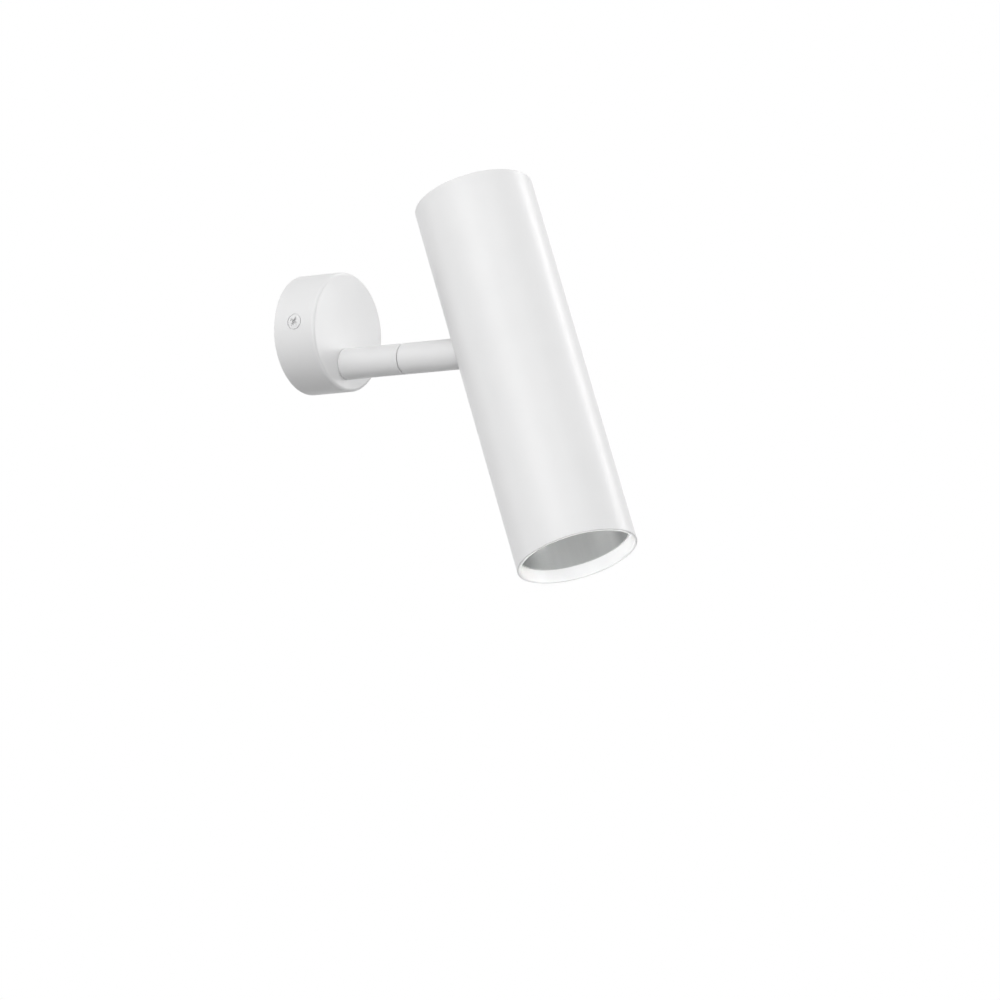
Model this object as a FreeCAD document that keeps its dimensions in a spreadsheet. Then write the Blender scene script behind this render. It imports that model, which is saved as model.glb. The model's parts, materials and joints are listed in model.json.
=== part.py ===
import FreeCAD, Part
import math
import os
import Sketcher
from FreeCAD import Placement, Rotation, Vector

# Wall spotlight: a round rose, a straight arm that swivels at a split near its
# middle, and a slotted tube that tilts on the end of the arm and holds a
# reflector lamp.
# The wall is the plane Y = 0 and the lamp stands out of it towards -Y. Z is up.
# The origin is the centre of the rose's face on the wall.

# Each row is an alias, its value in millimetres, degrees or pieces, and what it measures.
SIZES = [
    ("rose_radius", 30.0, "rose, outside radius"),
    ("rose_depth", 24.0, "rose, height above the wall"),
    ("rose_side_wall", 1.8, "rose, side wall"),
    ("rose_face_wall", 2.0, "rose, face wall"),
    ("rose_edge_round", 1.6, "rose, round of the front edge"),
    ("rose_inner_round", 0.8, "rose, round inside the front edge"),
    ("stem_hole_radius", 5.1, "rose, hole for the arm's threaded stem"),
    ("fixing_distance", 12.2, "side screws, distance from the wall"),
    ("fixing_hole_radius", 2.2, "side screws, hole in the rose"),
    ("spot_face_radius", 4.1, "side screws, radius of the sunk seat"),
    ("spot_face_floor", 29.2, "side screws, seat's distance from the middle"),
    ("fixing_head_radius", 3.6, "side screw, head radius"),
    ("fixing_head_rim", 0.75, "side screw, height of the head's rim"),
    ("fixing_head_dome", 0.45, "side screw, rise of the head's dome"),
    ("fixing_shank_radius", 2.0, "side screw, shank radius"),
    ("fixing_shank_length", 7.0, "side screw, shank length"),
    ("recess_span", 4.8, "side screw, width across the cross recess"),
    ("recess_width", 1.3, "side screw, width of one arm of the recess"),
    ("recess_depth", 0.8, "side screw, depth of the recess at the ends of its arms"),
    ("core_span", 3.2, "side screw, width across the deep middle of the recess"),
    ("core_depth", 2.2, "side screw, depth of the recess in the middle"),
    ("recess_turn", 30.0, "side screw, turn of the recess"),
    ("strap_half_length", 26.6, "wall bracket, half length over the ears"),
    ("strap_half_width", 8.5, "wall bracket, half width"),
    ("strap_thickness", 1.5, "wall bracket, sheet thickness"),
    ("ear_reach", 17.0, "wall bracket, ear's reach from the wall"),
    ("ear_corner", 5.0, "wall bracket, round of the ear's corners"),
    ("ear_hole_radius", 2.05, "wall bracket, tapped hole in the ear"),
    ("bend_outside", 2.0, "wall bracket, outside radius of a bend"),
    ("bend_inside", 0.5, "wall bracket, inside radius of a bend"),
    ("wall_slot_centre", 19.0, "wall bracket, slot's distance from the middle"),
    ("wall_slot_length", 8.0, "wall bracket, slot length over the ends"),
    ("wall_slot_width", 4.5, "wall bracket, slot width"),
    ("earth_height", 13.5, "earth screw, height above the middle"),
    ("earth_tab_radius", 5.0, "earth tab, half width and end radius"),
    ("earth_tab_root", 7.5, "earth tab, height of its root inside the strap"),
    ("earth_boss_radius", 3.3, "earth tab, radius of the drawn collar"),
    ("earth_boss_reach", 3.0, "earth tab, collar's distance from the wall"),
    ("earth_thread_radius", 2.0, "earth screw, shank radius"),
    ("earth_head_radius", 3.2, "earth screw, head radius"),
    ("earth_head_height", 2.2, "earth screw, head height"),
    ("earth_tag_radius", 4.0, "earth tag, ring radius"),
    ("earth_tag_thickness", 0.8, "earth tag, sheet thickness"),
    ("earth_barrel_radius", 1.6, "earth tag, barrel radius"),
    ("earth_barrel_start", 3.4, "earth tag, barrel's near end"),
    ("earth_barrel_end", 8.5, "earth tag, barrel's far end"),
    ("block_half_length", 12.8, "terminal block, half length"),
    ("block_half_width", 7.5, "terminal block, half width"),
    ("block_base_top", 9.5, "terminal block, top of the base from the wall"),
    ("tower_top", 14.0, "terminal block, top of the towers from the wall"),
    ("tower_radius", 3.1, "terminal block, tower radius"),
    ("tower_offset", 3.6, "terminal block, tower's distance from the middle"),
    ("pole_spacing", 8.0, "terminal block, spacing of the poles"),
    ("pole_count", 3.0, "terminal block, number of poles"),
    ("sleeve_distance", 6.0, "terminal sleeve, axis from the wall"),
    ("sleeve_radius", 2.0, "terminal sleeve, outside radius"),
    ("sleeve_bore", 1.35, "terminal sleeve, bore"),
    ("sleeve_half_length", 6.5, "terminal sleeve, half length"),
    ("clamp_radius", 1.25, "terminal screw, radius"),
    ("clamp_tip", 7.25, "terminal screw, tip from the wall"),
    ("clamp_top", 13.0, "terminal screw, head from the wall"),
    ("driver_slot", 0.6, "width and depth of a small driver slot"),
    ("block_screw_radius", 1.25, "block screw, shank radius"),
    ("block_screw_head", 2.1, "block screw, head radius"),
    ("block_screw_rise", 1.5, "block screw, head height"),
    ("screw_tip_gap", 0.2, "least distance of a screw tip from the wall"),
    ("arm_drop", 16.5, "arm, axis below the middle of the rose"),
    ("arm_radius", 7.8, "arm, outside radius"),
    ("arm_bore", 3.2, "arm, bore of the rear half"),
    ("arm_edge", 0.3, "arm, bevel of its visible ends"),
    ("relief_width", 0.35, "arm, width of the groove against the rose"),
    ("relief_depth", 0.5, "arm, depth of the groove against the rose"),
    ("stem_start", 12.0, "arm, stem's end from the wall"),
    ("stem_radius", 4.9, "arm, radius of the threaded stem"),
    ("split_distance", 59.5, "arm, swivel gap from the wall"),
    ("split_gap", 0.5, "arm, width of the swivel gap"),
    ("thread_depth", 10.8, "swivel bolt, depth in the rear half"),
    ("bolt_radius", 4.0, "swivel bolt, shank radius"),
    ("bolt_bore", 2.6, "swivel bolt, bore"),
    ("bolt_flange_radius", 5.6, "swivel bolt, flange radius"),
    ("bolt_flange_height", 1.5, "swivel bolt, flange height"),
    ("thread_clearance", 0.02, "radial clearance of a screwed or pressed pair"),
    ("running_clearance", 0.05, "radial clearance of a turning pair"),
    ("web_thickness", 4.0, "arm, thickness of the web that turns on the bolt"),
    ("ring_outside", 4.9, "friction ring, outside radius"),
    ("ring_thickness", 0.4, "friction ring, thickness"),
    ("spring_height", 1.05, "spring washer, height as fitted"),
    ("spring_thickness", 0.6, "spring washer, thickness"),
    ("stop_radius", 5.9, "stop pin, distance from the arm's axis"),
    ("stop_pin_radius", 0.7, "stop pin, radius"),
    ("stop_pin_start", 55.5, "stop pin, inner end from the wall"),
    ("stop_pin_end", 61.2, "stop pin, outer end from the wall"),
    ("stop_groove_half_width", 0.95, "stop groove, half width"),
    ("stop_groove_depth", 2.0, "stop groove, depth"),
    ("stop_groove_gap", 13.5, "stop groove, angle of the stop that is left"),
    ("front_bore", 6.2, "arm, bore of the front half"),
    ("arm_end", 12.0, "arm, its end short of the tilt axis"),
    ("nut_flats_radius", 8.08, "stem nut, radius over the corners"),
    ("nut_height", 3.0, "stem nut, height"),
    ("nut_bore", 4.95, "stem nut, bore"),
    ("lock_washer_radius", 7.4, "lock washer, outside radius"),
    ("lock_washer_thickness", 0.8, "lock washer, thickness"),
    ("bushing_flange_radius", 4.6, "cable bushing, flange radius"),
    ("bushing_flange", 1.4, "cable bushing, flange height"),
    ("bushing_depth", 5.0, "cable bushing, depth in the stem"),
    ("bushing_bore", 2.4, "cable bushing, bore"),
    ("pivot_distance", 126.0, "tilt axis, distance from the wall"),
    ("plug_depth", 13.0, "tongue, depth of its plug in the arm"),
    ("collar_radius", 7.4, "tongue, collar radius"),
    ("collar_thickness", 2.0, "tongue, collar thickness"),
    ("tongue_half_thickness", 3.0, "tongue, half thickness"),
    ("knuckle_radius", 7.0, "tongue and cheeks, round about the tilt axis"),
    ("pivot_radius", 2.5, "tilt bolt, shank radius"),
    ("channel_offset", 5.4, "tongue, wire channel from the axis"),
    ("channel_radius", 1.6, "tongue, wire channel radius"),
    ("grub_radius", 1.5, "grub screw, radius"),
    ("grub_distance", 6.0, "grub screw, distance from the arm's end"),
    ("grub_outer", 7.4, "grub screw, outer end from the arm's axis"),
    ("grub_inner", 5.0, "grub screw, point from the arm's axis"),
    ("tilt_angle", 21.0, "tube, tilt of its mouth away from the wall"),
    ("tube_radius", 30.0, "tube, outside radius"),
    ("tube_wall", 1.5, "tube, wall"),
    ("tube_above", 83.8, "tube, top end above the tilt axis"),
    ("tube_below", 113.5, "tube, mouth below the tilt axis"),
    ("tube_edge", 0.2, "tube, round of its outer edges"),
    ("mouth_wall", 0.7, "tube, wall round the mouth ring"),
    ("mouth_ring_radius", 28.4, "mouth ring, inside radius"),
    ("mouth_ring_length", 8.0, "mouth ring, length"),
    ("ring_lip_radius", 28.0, "mouth ring, radius inside the lip at its rear"),
    ("ring_lip_height", 1.2, "mouth ring, height of the lip"),
    ("slot_half_width", 8.2, "tube, half width of the slot for the arm"),
    ("slot_top", 48.4, "tube, top of the slot above the tilt axis"),
    ("slot_bottom", 14.0, "tube, bottom of the slot below the tilt axis"),
    ("loose_clearance", 0.1, "radial clearance of a pushed or loose pair"),
    ("cap_inset", 0.5, "top cap, distance below the tube's end"),
    ("cap_plate", 1.5, "top cap, thickness"),
    ("cap_skirt", 9.0, "top cap, height over the skirt"),
    ("cap_round", 0.8, "top cap, round of its edge"),
    ("sheet", 1.5, "tube bracket, sheet thickness"),
    ("plate_drop", 18.0, "tube bracket, plate below the tilt axis"),
    ("plate_radius", 28.2, "tube bracket, plate radius"),
    ("plate_half_width", 21.0, "tube bracket, half width over the flats"),
    ("cheek_gap", 3.8, "tube bracket, inside of a cheek from the middle"),
    ("tab_depth", 13.0, "tube bracket, depth of the rear tab"),
    ("tab_half_angle", 29.0, "tube bracket, half angle of the rear tab"),
    ("tab_screw_drop", 26.0, "tab screws, below the tilt axis"),
    ("tab_screw_angle", 7.0, "tab screws, angle from the rear"),
    ("tab_thread_radius", 1.5, "tab screw, shank radius"),
    ("tab_hole_radius", 1.6, "tab screw, hole in the tube"),
    ("tab_head_radius", 2.7, "tab screw, head radius"),
    ("tab_head_rim", 0.9, "tab screw, height of the head's rim"),
    ("tab_head_dome", 0.7, "tab screw, rise of the head's dome"),
    ("tab_screw_length", 4.6, "tab screw, shank length"),
    ("socket_radius", 1.2, "tab screw, hexagon socket over the corners"),
    ("socket_depth", 1.0, "tab screw, hexagon socket depth"),
    ("pivot_head_radius", 4.2, "tilt bolt, head radius"),
    ("pivot_head_height", 3.0, "tilt bolt, head height"),
    ("pivot_socket_radius", 1.75, "tilt bolt, hexagon socket over the corners"),
    ("pivot_nut_radius", 4.6, "tilt nut, radius over the corners"),
    ("pivot_nut_height", 4.0, "tilt nut, height"),
    ("pivot_bolt_end", 10.0, "tilt bolt, end from the middle"),
    ("friction_radius", 6.4, "friction washer, outside radius"),
    ("friction_gap", 0.05, "friction washer, clearance to the tongue"),
    ("holder_radius", 13.8, "lamp holder, radius"),
    ("holder_skirt_radius", 12.6, "lamp holder, radius of the lower part"),
    ("holder_step", 10.0, "lamp holder, height of the upper part"),
    ("holder_height", 22.0, "lamp holder, height"),
    ("holder_bevel", 0.8, "lamp holder, bevel"),
    ("holder_screw_offset", 9.5, "holder screws, distance from the axis"),
    ("holder_screw_length", 9.0, "holder screws, shank length"),
    ("holder_screw_head", 1.9, "holder screws, head height"),
    ("pin_offset", 5.0, "lamp pins, distance from the axis"),
    ("pin_entry_radius", 2.9, "lamp holder, radius of a pin's entry hole"),
    ("pin_track_half", 1.8, "lamp holder, half width of the slot for a pin's shank"),
    ("pin_twist", 50.0, "lamp holder, turn from a pin's entry hole to its seat"),
    ("holder_floor", 3.0, "lamp holder, thickness of the floor over the pins' heads"),
    ("pin_pocket_depth", 8.2, "lamp holder, depth of the pins' pockets"),
    ("pin_radius", 1.5, "lamp pin, shank radius"),
    ("pin_head_radius", 2.5, "lamp pin, head radius"),
    ("pin_head_height", 1.8, "lamp pin, head height"),
    ("pin_length", 7.3, "lamp pin, length"),
    ("lamp_neck_radius", 13.2, "lamp, neck radius"),
    ("lamp_neck_length", 13.0, "lamp, neck length"),
    ("lamp_rim_radius", 25.0, "lamp, rim radius"),
    ("lamp_rim_height", 7.0, "lamp, rim height"),
    ("lamp_length", 47.0, "lamp, body length"),
    ("lamp_flare_radius", 110.0, "lamp, radius of the flared side"),
    ("rib_count", 18.0, "lamp, ribs round the flared side"),
    ("rib_height", 0.9, "lamp, height of a rib"),
    ("rib_width", 1.6, "lamp, width of a rib"),
    ("rib_root", 2.0, "lamp, depth of a rib's root in the side"),
    ("lens_radius", 23.4, "lens, radius"),
    ("lens_thickness", 2.5, "lens, thickness at the edge"),
    ("lens_dome", 0.9, "lens, rise in the middle"),
    ("sleeve_inset", 6.2, "reflector sleeve, distance behind the mouth"),
    ("sleeve_length", 31.5, "reflector sleeve, length"),
    ("reflector_radius", 27.9, "reflector sleeve, outside radius"),
    ("sleeve_wall", 0.6, "reflector sleeve, wall"),
    ("sleeve_lip_radius", 25.6, "reflector sleeve, radius inside the lip"),
    ("lead_radius", 1.0, "leads, radius over the insulation"),
    ("lead_half_spacing", 1.15, "leads, distance from the arm's axis"),
    ("lead_side_offset", 5.1, "leads, distance from the axis in the tongue"),
    ("lead_head_offset", 7.7, "leads, distance from the middle in the tube"),
    ("lead_hole_radius", 1.4, "leads, hole in the holder and the plate"),
    ("joint_reach", 67.0, "leads, end past the swivel gap, from the wall"),
    ("joint_gap", 1.0, "leads, gap between two halves at the swivel"),
    ("tilt_reach", 9.0, "leads, end short of the tilt axis"),
    ("lead_run", 4.0, "leads, run past an edge before a bend"),
    ("lead_rise", 5.0, "leads, rise over the tube bracket before a bend"),
    ("lead_grip", 2.0, "leads, length held in the earth tag"),
    ("small_bend", 2.2, "leads, bend radius in the rose"),
    ("gentle_bend", 6.0, "leads, bend radius in the arm"),
]

doc = FreeCAD.newDocument("wall_spotlight")
sheet = doc.addObject("Spreadsheet::Sheet", "Sizes")


class Size:
    """A length, angle or count that carries its number and its formula in the sheet."""

    def __init__(self, number, formula=None):
        self.number = float(number)
        self.formula = formula or repr(float(number))

    def __add__(self, other):
        other = as_size(other)
        return Size(self.number + other.number, f"({self.formula} + {other.formula})")

    def __radd__(self, other):
        return as_size(other) + self

    def __sub__(self, other):
        other = as_size(other)
        return Size(self.number - other.number, f"({self.formula} - {other.formula})")

    def __rsub__(self, other):
        return as_size(other) - self

    def __mul__(self, other):
        other = as_size(other)
        return Size(self.number * other.number, f"({self.formula} * {other.formula})")

    def __rmul__(self, other):
        return as_size(other) * self

    def __truediv__(self, other):
        other = as_size(other)
        return Size(self.number / other.number, f"({self.formula} / {other.formula})")

    def __neg__(self):
        return Size(-self.number, f"(-1 * {self.formula})")


def as_size(value):
    return value if isinstance(value, Size) else Size(value)


def cosine(angle):
    return Size(math.cos(math.radians(angle.number)), f"cos({angle.formula} * 1 deg)")


def sine(angle):
    return Size(math.sin(math.radians(angle.number)), f"sin({angle.formula} * 1 deg)")


def root(size):
    return Size(math.sqrt(size.number), f"sqrt({size.formula})")


class Dimensions:
    """The sheet's cells as attributes, such as dim.rose_radius."""


dim = Dimensions()
for row, (alias, value, meaning) in enumerate(SIZES, start=1):
    sheet.set(f"A{row}", meaning)
    sheet.set(f"B{row}", str(value))
    sheet.setAlias(f"B{row}", alias)
    setattr(dim, alias, Size(value, f"Sizes.{alias}"))
doc.recompute()


# Sketches: every corner, centre and radius is tied to the sheet.

def bind(owner, path, size):
    """Tie a property to its formula, where it has one."""
    if "Sizes." in size.formula:
        owner.setExpression(path, size.formula)


def constrain(sketch, kind, places, size):
    """Add one dimension to a sketch."""
    index = sketch.addConstraint(Sketcher.Constraint(kind, *places, size.number))
    bind(sketch, f"Constraints[{index}]", size)


def locate(sketch, geometry, vertex, u, v):
    """Hold one vertex at the place (u, v) of the sketch."""
    constrain(sketch, "DistanceX", (-1, 1, geometry, vertex), as_size(u))
    constrain(sketch, "DistanceY", (-1, 1, geometry, vertex), as_size(v))


def flat(u, v):
    return Vector(as_size(u).number, as_size(v).number, 0)


def circle(sketch, u, v, radius):
    shape = Part.Circle(flat(u, v), Vector(0, 0, 1), radius.number)
    index = sketch.addGeometry(shape, False)
    locate(sketch, index, 3, u, v)
    constrain(sketch, "Radius", (index,), radius)


def arc_between(start, end, centre, turn):
    """The arc about a centre from start to end: turn is 1 for anticlockwise, -1 for clockwise."""
    first, last = (start, end) if turn > 0 else (end, start)
    radius = (start - centre).Length
    angles = [math.atan2(point.y - centre.y, point.x - centre.x) for point in (first, last)]
    if angles[1] <= angles[0]:
        angles[1] += 2 * math.pi
    return Part.ArcOfCircle(Part.Circle(centre, Vector(0, 0, 1), radius), *angles)


def outline(sketch, corners):
    """A closed outline. A corner (u, v) ends a straight line, and a corner
    (u, v, centre u, centre v, turn) ends an arc."""
    edges = []
    previous = corners[-1]
    for corner in corners:
        start = flat(*previous[:2])
        end = flat(*corner[:2])
        if len(corner) == 2:
            index = sketch.addGeometry(Part.LineSegment(start, end), False)
            edges.append((index, 1, 2))
        else:
            centre = flat(corner[2], corner[3])
            index = sketch.addGeometry(arc_between(start, end, centre, corner[4]), False)
            edges.append((index, 1, 2) if corner[4] > 0 else (index, 2, 1))
        previous = corner
    for (index, first, last), after in zip(edges, edges[1:] + edges[:1]):
        sketch.addConstraint(Sketcher.Constraint("Coincident", index, last, after[0], after[1]))
    previous = corners[-1]
    for (index, first, last), corner in zip(edges, corners):
        locate(sketch, index, last, *corner[:2])
        if len(corner) == 5:
            span = flat(*corner[:2]) - flat(*previous[:2])
            if abs(span.x) > abs(span.y):
                constrain(sketch, "DistanceY", (-1, 1, index, 3), as_size(corner[3]))
            else:
                constrain(sketch, "DistanceX", (-1, 1, index, 3), as_size(corner[2]))
        previous = corner


def rectangle(sketch, left, bottom, right, top):
    outline(sketch, [(left, bottom), (right, bottom), (right, top), (left, top)])


def polygon(sketch, sides, u, v, radius):
    """A regular polygon with a corner straight above its centre."""
    corners = []
    for side in range(sides):
        angle = Size(90 + side * 360 / sides)
        corners.append((u + radius * cosine(angle), v + radius * sine(angle)))
    outline(sketch, corners)


# Bodies and their features.

subparts = []


def new_body(label):
    body = doc.addObject("PartDesign::Body", label)
    body.Label = label
    subparts.append(body)
    return body


def origin_feature(body, role):
    return next(feature for feature in body.Origin.OriginFeatures if feature.Role == role)


def sketch_on(body, role, lift=0, slide=0, turn=0):
    """A sketch on an origin plane, turned about its vertical, slid up it and lifted along its normal."""
    sketch = body.newObject("Sketcher::SketchObject", f"{body.Label}_sketch")
    sketch.AttachmentSupport = [(origin_feature(body, role), "")]
    sketch.MapMode = "FlatFace"
    turn = as_size(turn)
    spot = [lift * sine(turn), as_size(slide), lift * cosine(turn)]
    base = Vector(*[size.number for size in spot])
    sketch.AttachmentOffset = Placement(base, Rotation(Vector(0, 1, 0), turn.number))
    for name, size in zip("xyz", spot):
        bind(sketch, f"AttachmentOffset.Base.{name}", size)
    bind(sketch, "AttachmentOffset.Rotation.Angle", turn)
    return sketch


def finish(body, feature):
    body.Tip = feature
    doc.recompute()
    return feature


def revolve(body, sketch, axis):
    feature = body.newObject("PartDesign::Revolution", f"{body.Label}_turned")
    feature.Profile = sketch
    feature.ReferenceAxis = (sketch, [axis])
    feature.Angle = 360
    return finish(body, feature)


def pad(body, sketch, length, symmetric=False, reverse=False):
    feature = body.newObject("PartDesign::Pad", f"{body.Label}_pad")
    feature.Profile = sketch
    feature.SideType = "Symmetric" if symmetric else "One side"
    feature.Reversed = reverse
    feature.Length = length.number
    bind(feature, "Length", length)
    return finish(body, feature)


def pocket(body, sketch, length=None, symmetric=False, reverse=False):
    """A cut from the sketch against its normal, or along it where reversed. No length cuts right through."""
    before = body.Shape.Volume
    feature = body.newObject("PartDesign::Pocket", f"{body.Label}_pocket")
    feature.Profile = sketch
    feature.SideType = "Symmetric" if symmetric else "One side"
    feature.Reversed = reverse
    if length is None:
        feature.Type = "ThroughAll"
    else:
        feature.Type = "Length"
        feature.Length = length.number
        bind(feature, "Length", length)
    finish(body, feature)
    if body.Shape.Volume > before - 1e-6:
        raise ValueError(f"{feature.Name} removes nothing from {body.Label}")
    return feature


def mirror(body, features, role):
    feature = body.newObject("PartDesign::Mirrored", f"{body.Label}_mirrored")
    feature.Originals = features
    feature.MirrorPlane = (origin_feature(body, role), [""])
    return finish(body, feature)


def repeat_along(body, features, role, length, count):
    feature = body.newObject("PartDesign::LinearPattern", f"{body.Label}_row")
    feature.Originals = features
    feature.Direction = (origin_feature(body, role), [""])
    feature.Length = length.number
    bind(feature, "Length", length)
    feature.Occurrences = int(count.number)
    bind(feature, "Occurrences", count)
    return finish(body, feature)


def repeat_round(body, features, role, count):
    feature = body.newObject("PartDesign::PolarPattern", f"{body.Label}_circle")
    feature.Originals = features
    feature.Axis = (origin_feature(body, role), [""])
    feature.Angle = 360
    feature.Occurrences = int(count.number)
    bind(feature, "Occurrences", count)
    return finish(body, feature)


def edges_where(body, test):
    """The names of the edges of the last feature that pass a test."""
    shape = body.Tip.Shape
    names = [f"Edge{index}" for index, edge in enumerate(shape.Edges, start=1) if test(edge)]
    if not names:
        raise ValueError(f"no such edge on {body.Label}")
    return names


def ring(radius, axis, place):
    """Tests for a round edge of one radius at one place along an axis."""
    def test(edge):
        round_edge = isinstance(edge.Curve, Part.Circle) and abs(edge.Curve.Radius - radius.number) < 1e-3
        return round_edge and abs(edge.Curve.Center[axis] - place.number) < 1e-3
    return test


def crease(axis, **places):
    """Tests for a straight edge along an axis, through the given x, y or z."""
    def test(edge):
        if not isinstance(edge.Curve, (Part.Line, Part.LineSegment)):
            return False
        if abs(edge.tangentAt(edge.FirstParameter)[axis]) < 0.999:
            return False
        middle = edge.CenterOfMass
        return all(abs(abs(getattr(middle, name)) - size.number) < 1e-3 for name, size in places.items())
    return test


def fillet(body, radius, test):
    names = edges_where(body, test)
    base = body.Tip
    feature = body.newObject("PartDesign::Fillet", f"{body.Label}_round")
    feature.Base = (base, names)
    feature.Radius = radius.number
    bind(feature, "Radius", radius)
    return finish(body, feature)


def chamfer(body, size, test):
    names = edges_where(body, test)
    base = body.Tip
    feature = body.newObject("PartDesign::Chamfer", f"{body.Label}_bevel")
    feature.Base = (base, names)
    feature.Size = size.number
    bind(feature, "Size", size)
    return finish(body, feature)


def turn_from_wall(body, profile):
    """A turned form about Y. Each corner is a radius and a distance from the wall."""
    sketch = sketch_on(body, "XY_Plane")
    outline(sketch, [(corner[0], -as_size(corner[1])) + tuple(corner[2:]) for corner in profile])
    return revolve(body, sketch, "V_Axis")


def turn_upright(body, profile):
    """A turned form about Z. Each corner is a radius and a height."""
    sketch = sketch_on(body, "XZ_Plane")
    outline(sketch, profile)
    return revolve(body, sketch, "V_Axis")


def turn_crosswise(body, profile):
    """A turned form about X. Each corner is a place along X and a radius."""
    sketch = sketch_on(body, "XY_Plane")
    outline(sketch, profile)
    return revolve(body, sketch, "H_Axis")


# Where the pieces stand.

def place(owner, x, y, z, axis=Vector(1, 0, 0), angle=Size(0)):
    spot = [as_size(x), as_size(y), as_size(z)]
    base = Vector(*[size.number for size in spot])
    owner.Placement = Placement(base, Rotation(axis, angle.number))
    for name, size in zip("xyz", spot):
        bind(owner, f"Placement.Base.{name}", size)
    bind(owner, "Placement.Rotation.Angle", angle)


def place_on_arm(owner):
    """The arm's frame: its Y axis is the arm's axis, and y = 0 is the wall."""
    place(owner, 0, 0, -dim.arm_drop)


def place_in_tube(owner):
    """The tube's frame: the origin is on the tilt axis, Z runs up the tube and Y to its rear."""
    place(owner, 0, -dim.pivot_distance, -dim.arm_drop, angle=-dim.tilt_angle)


# Rose.

def make_canopy():
    body = new_body("canopy")
    inside = dim.rose_radius - dim.rose_side_wall
    ceiling = dim.rose_depth - dim.rose_face_wall
    turn_from_wall(body, [
        (inside, 0),
        (dim.rose_radius, 0),
        (dim.rose_radius, dim.rose_depth),
        (0, dim.rose_depth),
        (0, ceiling),
        (inside, ceiling),
    ])
    fillet(body, dim.rose_edge_round, ring(dim.rose_radius, 1, -dim.rose_depth))
    fillet(body, dim.rose_inner_round, ring(inside, 1, -ceiling))
    stem = sketch_on(body, "XZ_Plane")
    circle(stem, 0, -dim.arm_drop, dim.stem_hole_radius)
    pocket(body, stem, reverse=True)
    fixing = sketch_on(body, "YZ_Plane")
    circle(fixing, -dim.fixing_distance, 0, dim.fixing_hole_radius)
    pocket(body, fixing, symmetric=True)
    seat = sketch_on(body, "YZ_Plane", lift=-dim.spot_face_floor)
    circle(seat, -dim.fixing_distance, 0, dim.spot_face_radius)
    seat_cut = pocket(body, seat)
    mirror(body, [seat_cut], "YZ_Plane")


def cross_outline(sketch, reach, arm):
    """A cross whose arms end at the reach and are twice arm wide."""
    outline(sketch, [
        (arm, -reach), (arm, -arm), (reach, -arm), (reach, arm), (arm, arm), (arm, reach),
        (-arm, reach), (-arm, arm), (-reach, arm), (-reach, -arm), (-arm, -arm), (-arm, -reach),
    ])


def make_canopy_screws():
    """Domed screws with a cross recess, which is deepest in its middle."""
    body = new_body("canopy_screws")
    seat = -dim.spot_face_floor
    rim = seat - dim.fixing_head_rim
    crown = rim - dim.fixing_head_dome
    half_chord = dim.fixing_head_radius
    rise = dim.fixing_head_dome
    dome_radius = (half_chord * half_chord + rise * rise) / (2 * rise)
    tip = seat + dim.fixing_shank_length
    shank = turn_crosswise(body, [
        (crown, 0),
        (rim, dim.fixing_head_radius, crown + dome_radius, 0, -1),
        (seat, dim.fixing_head_radius),
        (seat, dim.fixing_shank_radius),
        (tip, dim.fixing_shank_radius),
        (tip, 0),
    ])
    cuts = []
    for span, depth in ((dim.recess_span, dim.recess_depth), (dim.core_span, dim.core_depth)):
        recess = sketch_on(body, "YZ_Plane", lift=crown)
        cross_outline(recess, span / 2, dim.recess_width / 2)
        cuts.append(pocket(body, recess, depth, reverse=True))
    mirror(body, [shank] + cuts, "YZ_Plane")
    place(body, 0, -dim.fixing_distance, 0, angle=dim.recess_turn)


def make_wall_bracket():
    """A bent strap with two ears, two wall slots and a tab with a drawn, tapped collar."""
    body = new_body("wall_bracket")
    far = dim.strap_half_length
    near = far - dim.strap_thickness
    strap = sketch_on(body, "XY_Plane")
    outline(strap, [
        (-far, 0), (far, 0), (far, -dim.ear_reach), (near, -dim.ear_reach),
        (near, -dim.strap_thickness), (-near, -dim.strap_thickness),
        (-near, -dim.ear_reach), (-far, -dim.ear_reach),
    ])
    pad(body, strap, 2 * dim.strap_half_width, symmetric=True)
    fillet(body, dim.bend_outside, crease(2, x=far, y=as_size(0)))
    fillet(body, dim.bend_inside, crease(2, x=near, y=dim.strap_thickness))
    fillet(body, dim.ear_corner, crease(0, y=dim.ear_reach, z=dim.strap_half_width))
    tab = sketch_on(body, "XZ_Plane")
    outline(tab, [
        (-dim.earth_tab_radius, dim.earth_tab_root),
        (dim.earth_tab_radius, dim.earth_tab_root),
        (dim.earth_tab_radius, dim.earth_height),
        (-dim.earth_tab_radius, dim.earth_height, 0, dim.earth_height, 1),
    ])
    pad(body, tab, dim.strap_thickness)
    collar = sketch_on(body, "XZ_Plane")
    circle(collar, 0, dim.earth_height, dim.earth_boss_radius)
    pad(body, collar, dim.earth_boss_reach)
    earth = sketch_on(body, "XZ_Plane")
    circle(earth, 0, dim.earth_height, dim.earth_thread_radius + dim.thread_clearance)
    pocket(body, earth, reverse=True)
    slots = sketch_on(body, "XZ_Plane")
    end = dim.wall_slot_width / 2
    for side in (-1, 1):
        centre = side * dim.wall_slot_centre
        left = centre - dim.wall_slot_length / 2 + end
        right = centre + dim.wall_slot_length / 2 - end
        outline(slots, [
            (right, -end),
            (right, end, right, 0, 1),
            (left, end),
            (left, -end, left, 0, 1),
        ])
        circle(slots, side * dim.pole_spacing / 2, 0, dim.block_screw_radius + dim.thread_clearance)
    pocket(body, slots, reverse=True)
    ears = sketch_on(body, "YZ_Plane")
    circle(ears, -dim.fixing_distance, 0, dim.ear_hole_radius)
    pocket(body, ears, symmetric=True)


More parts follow.
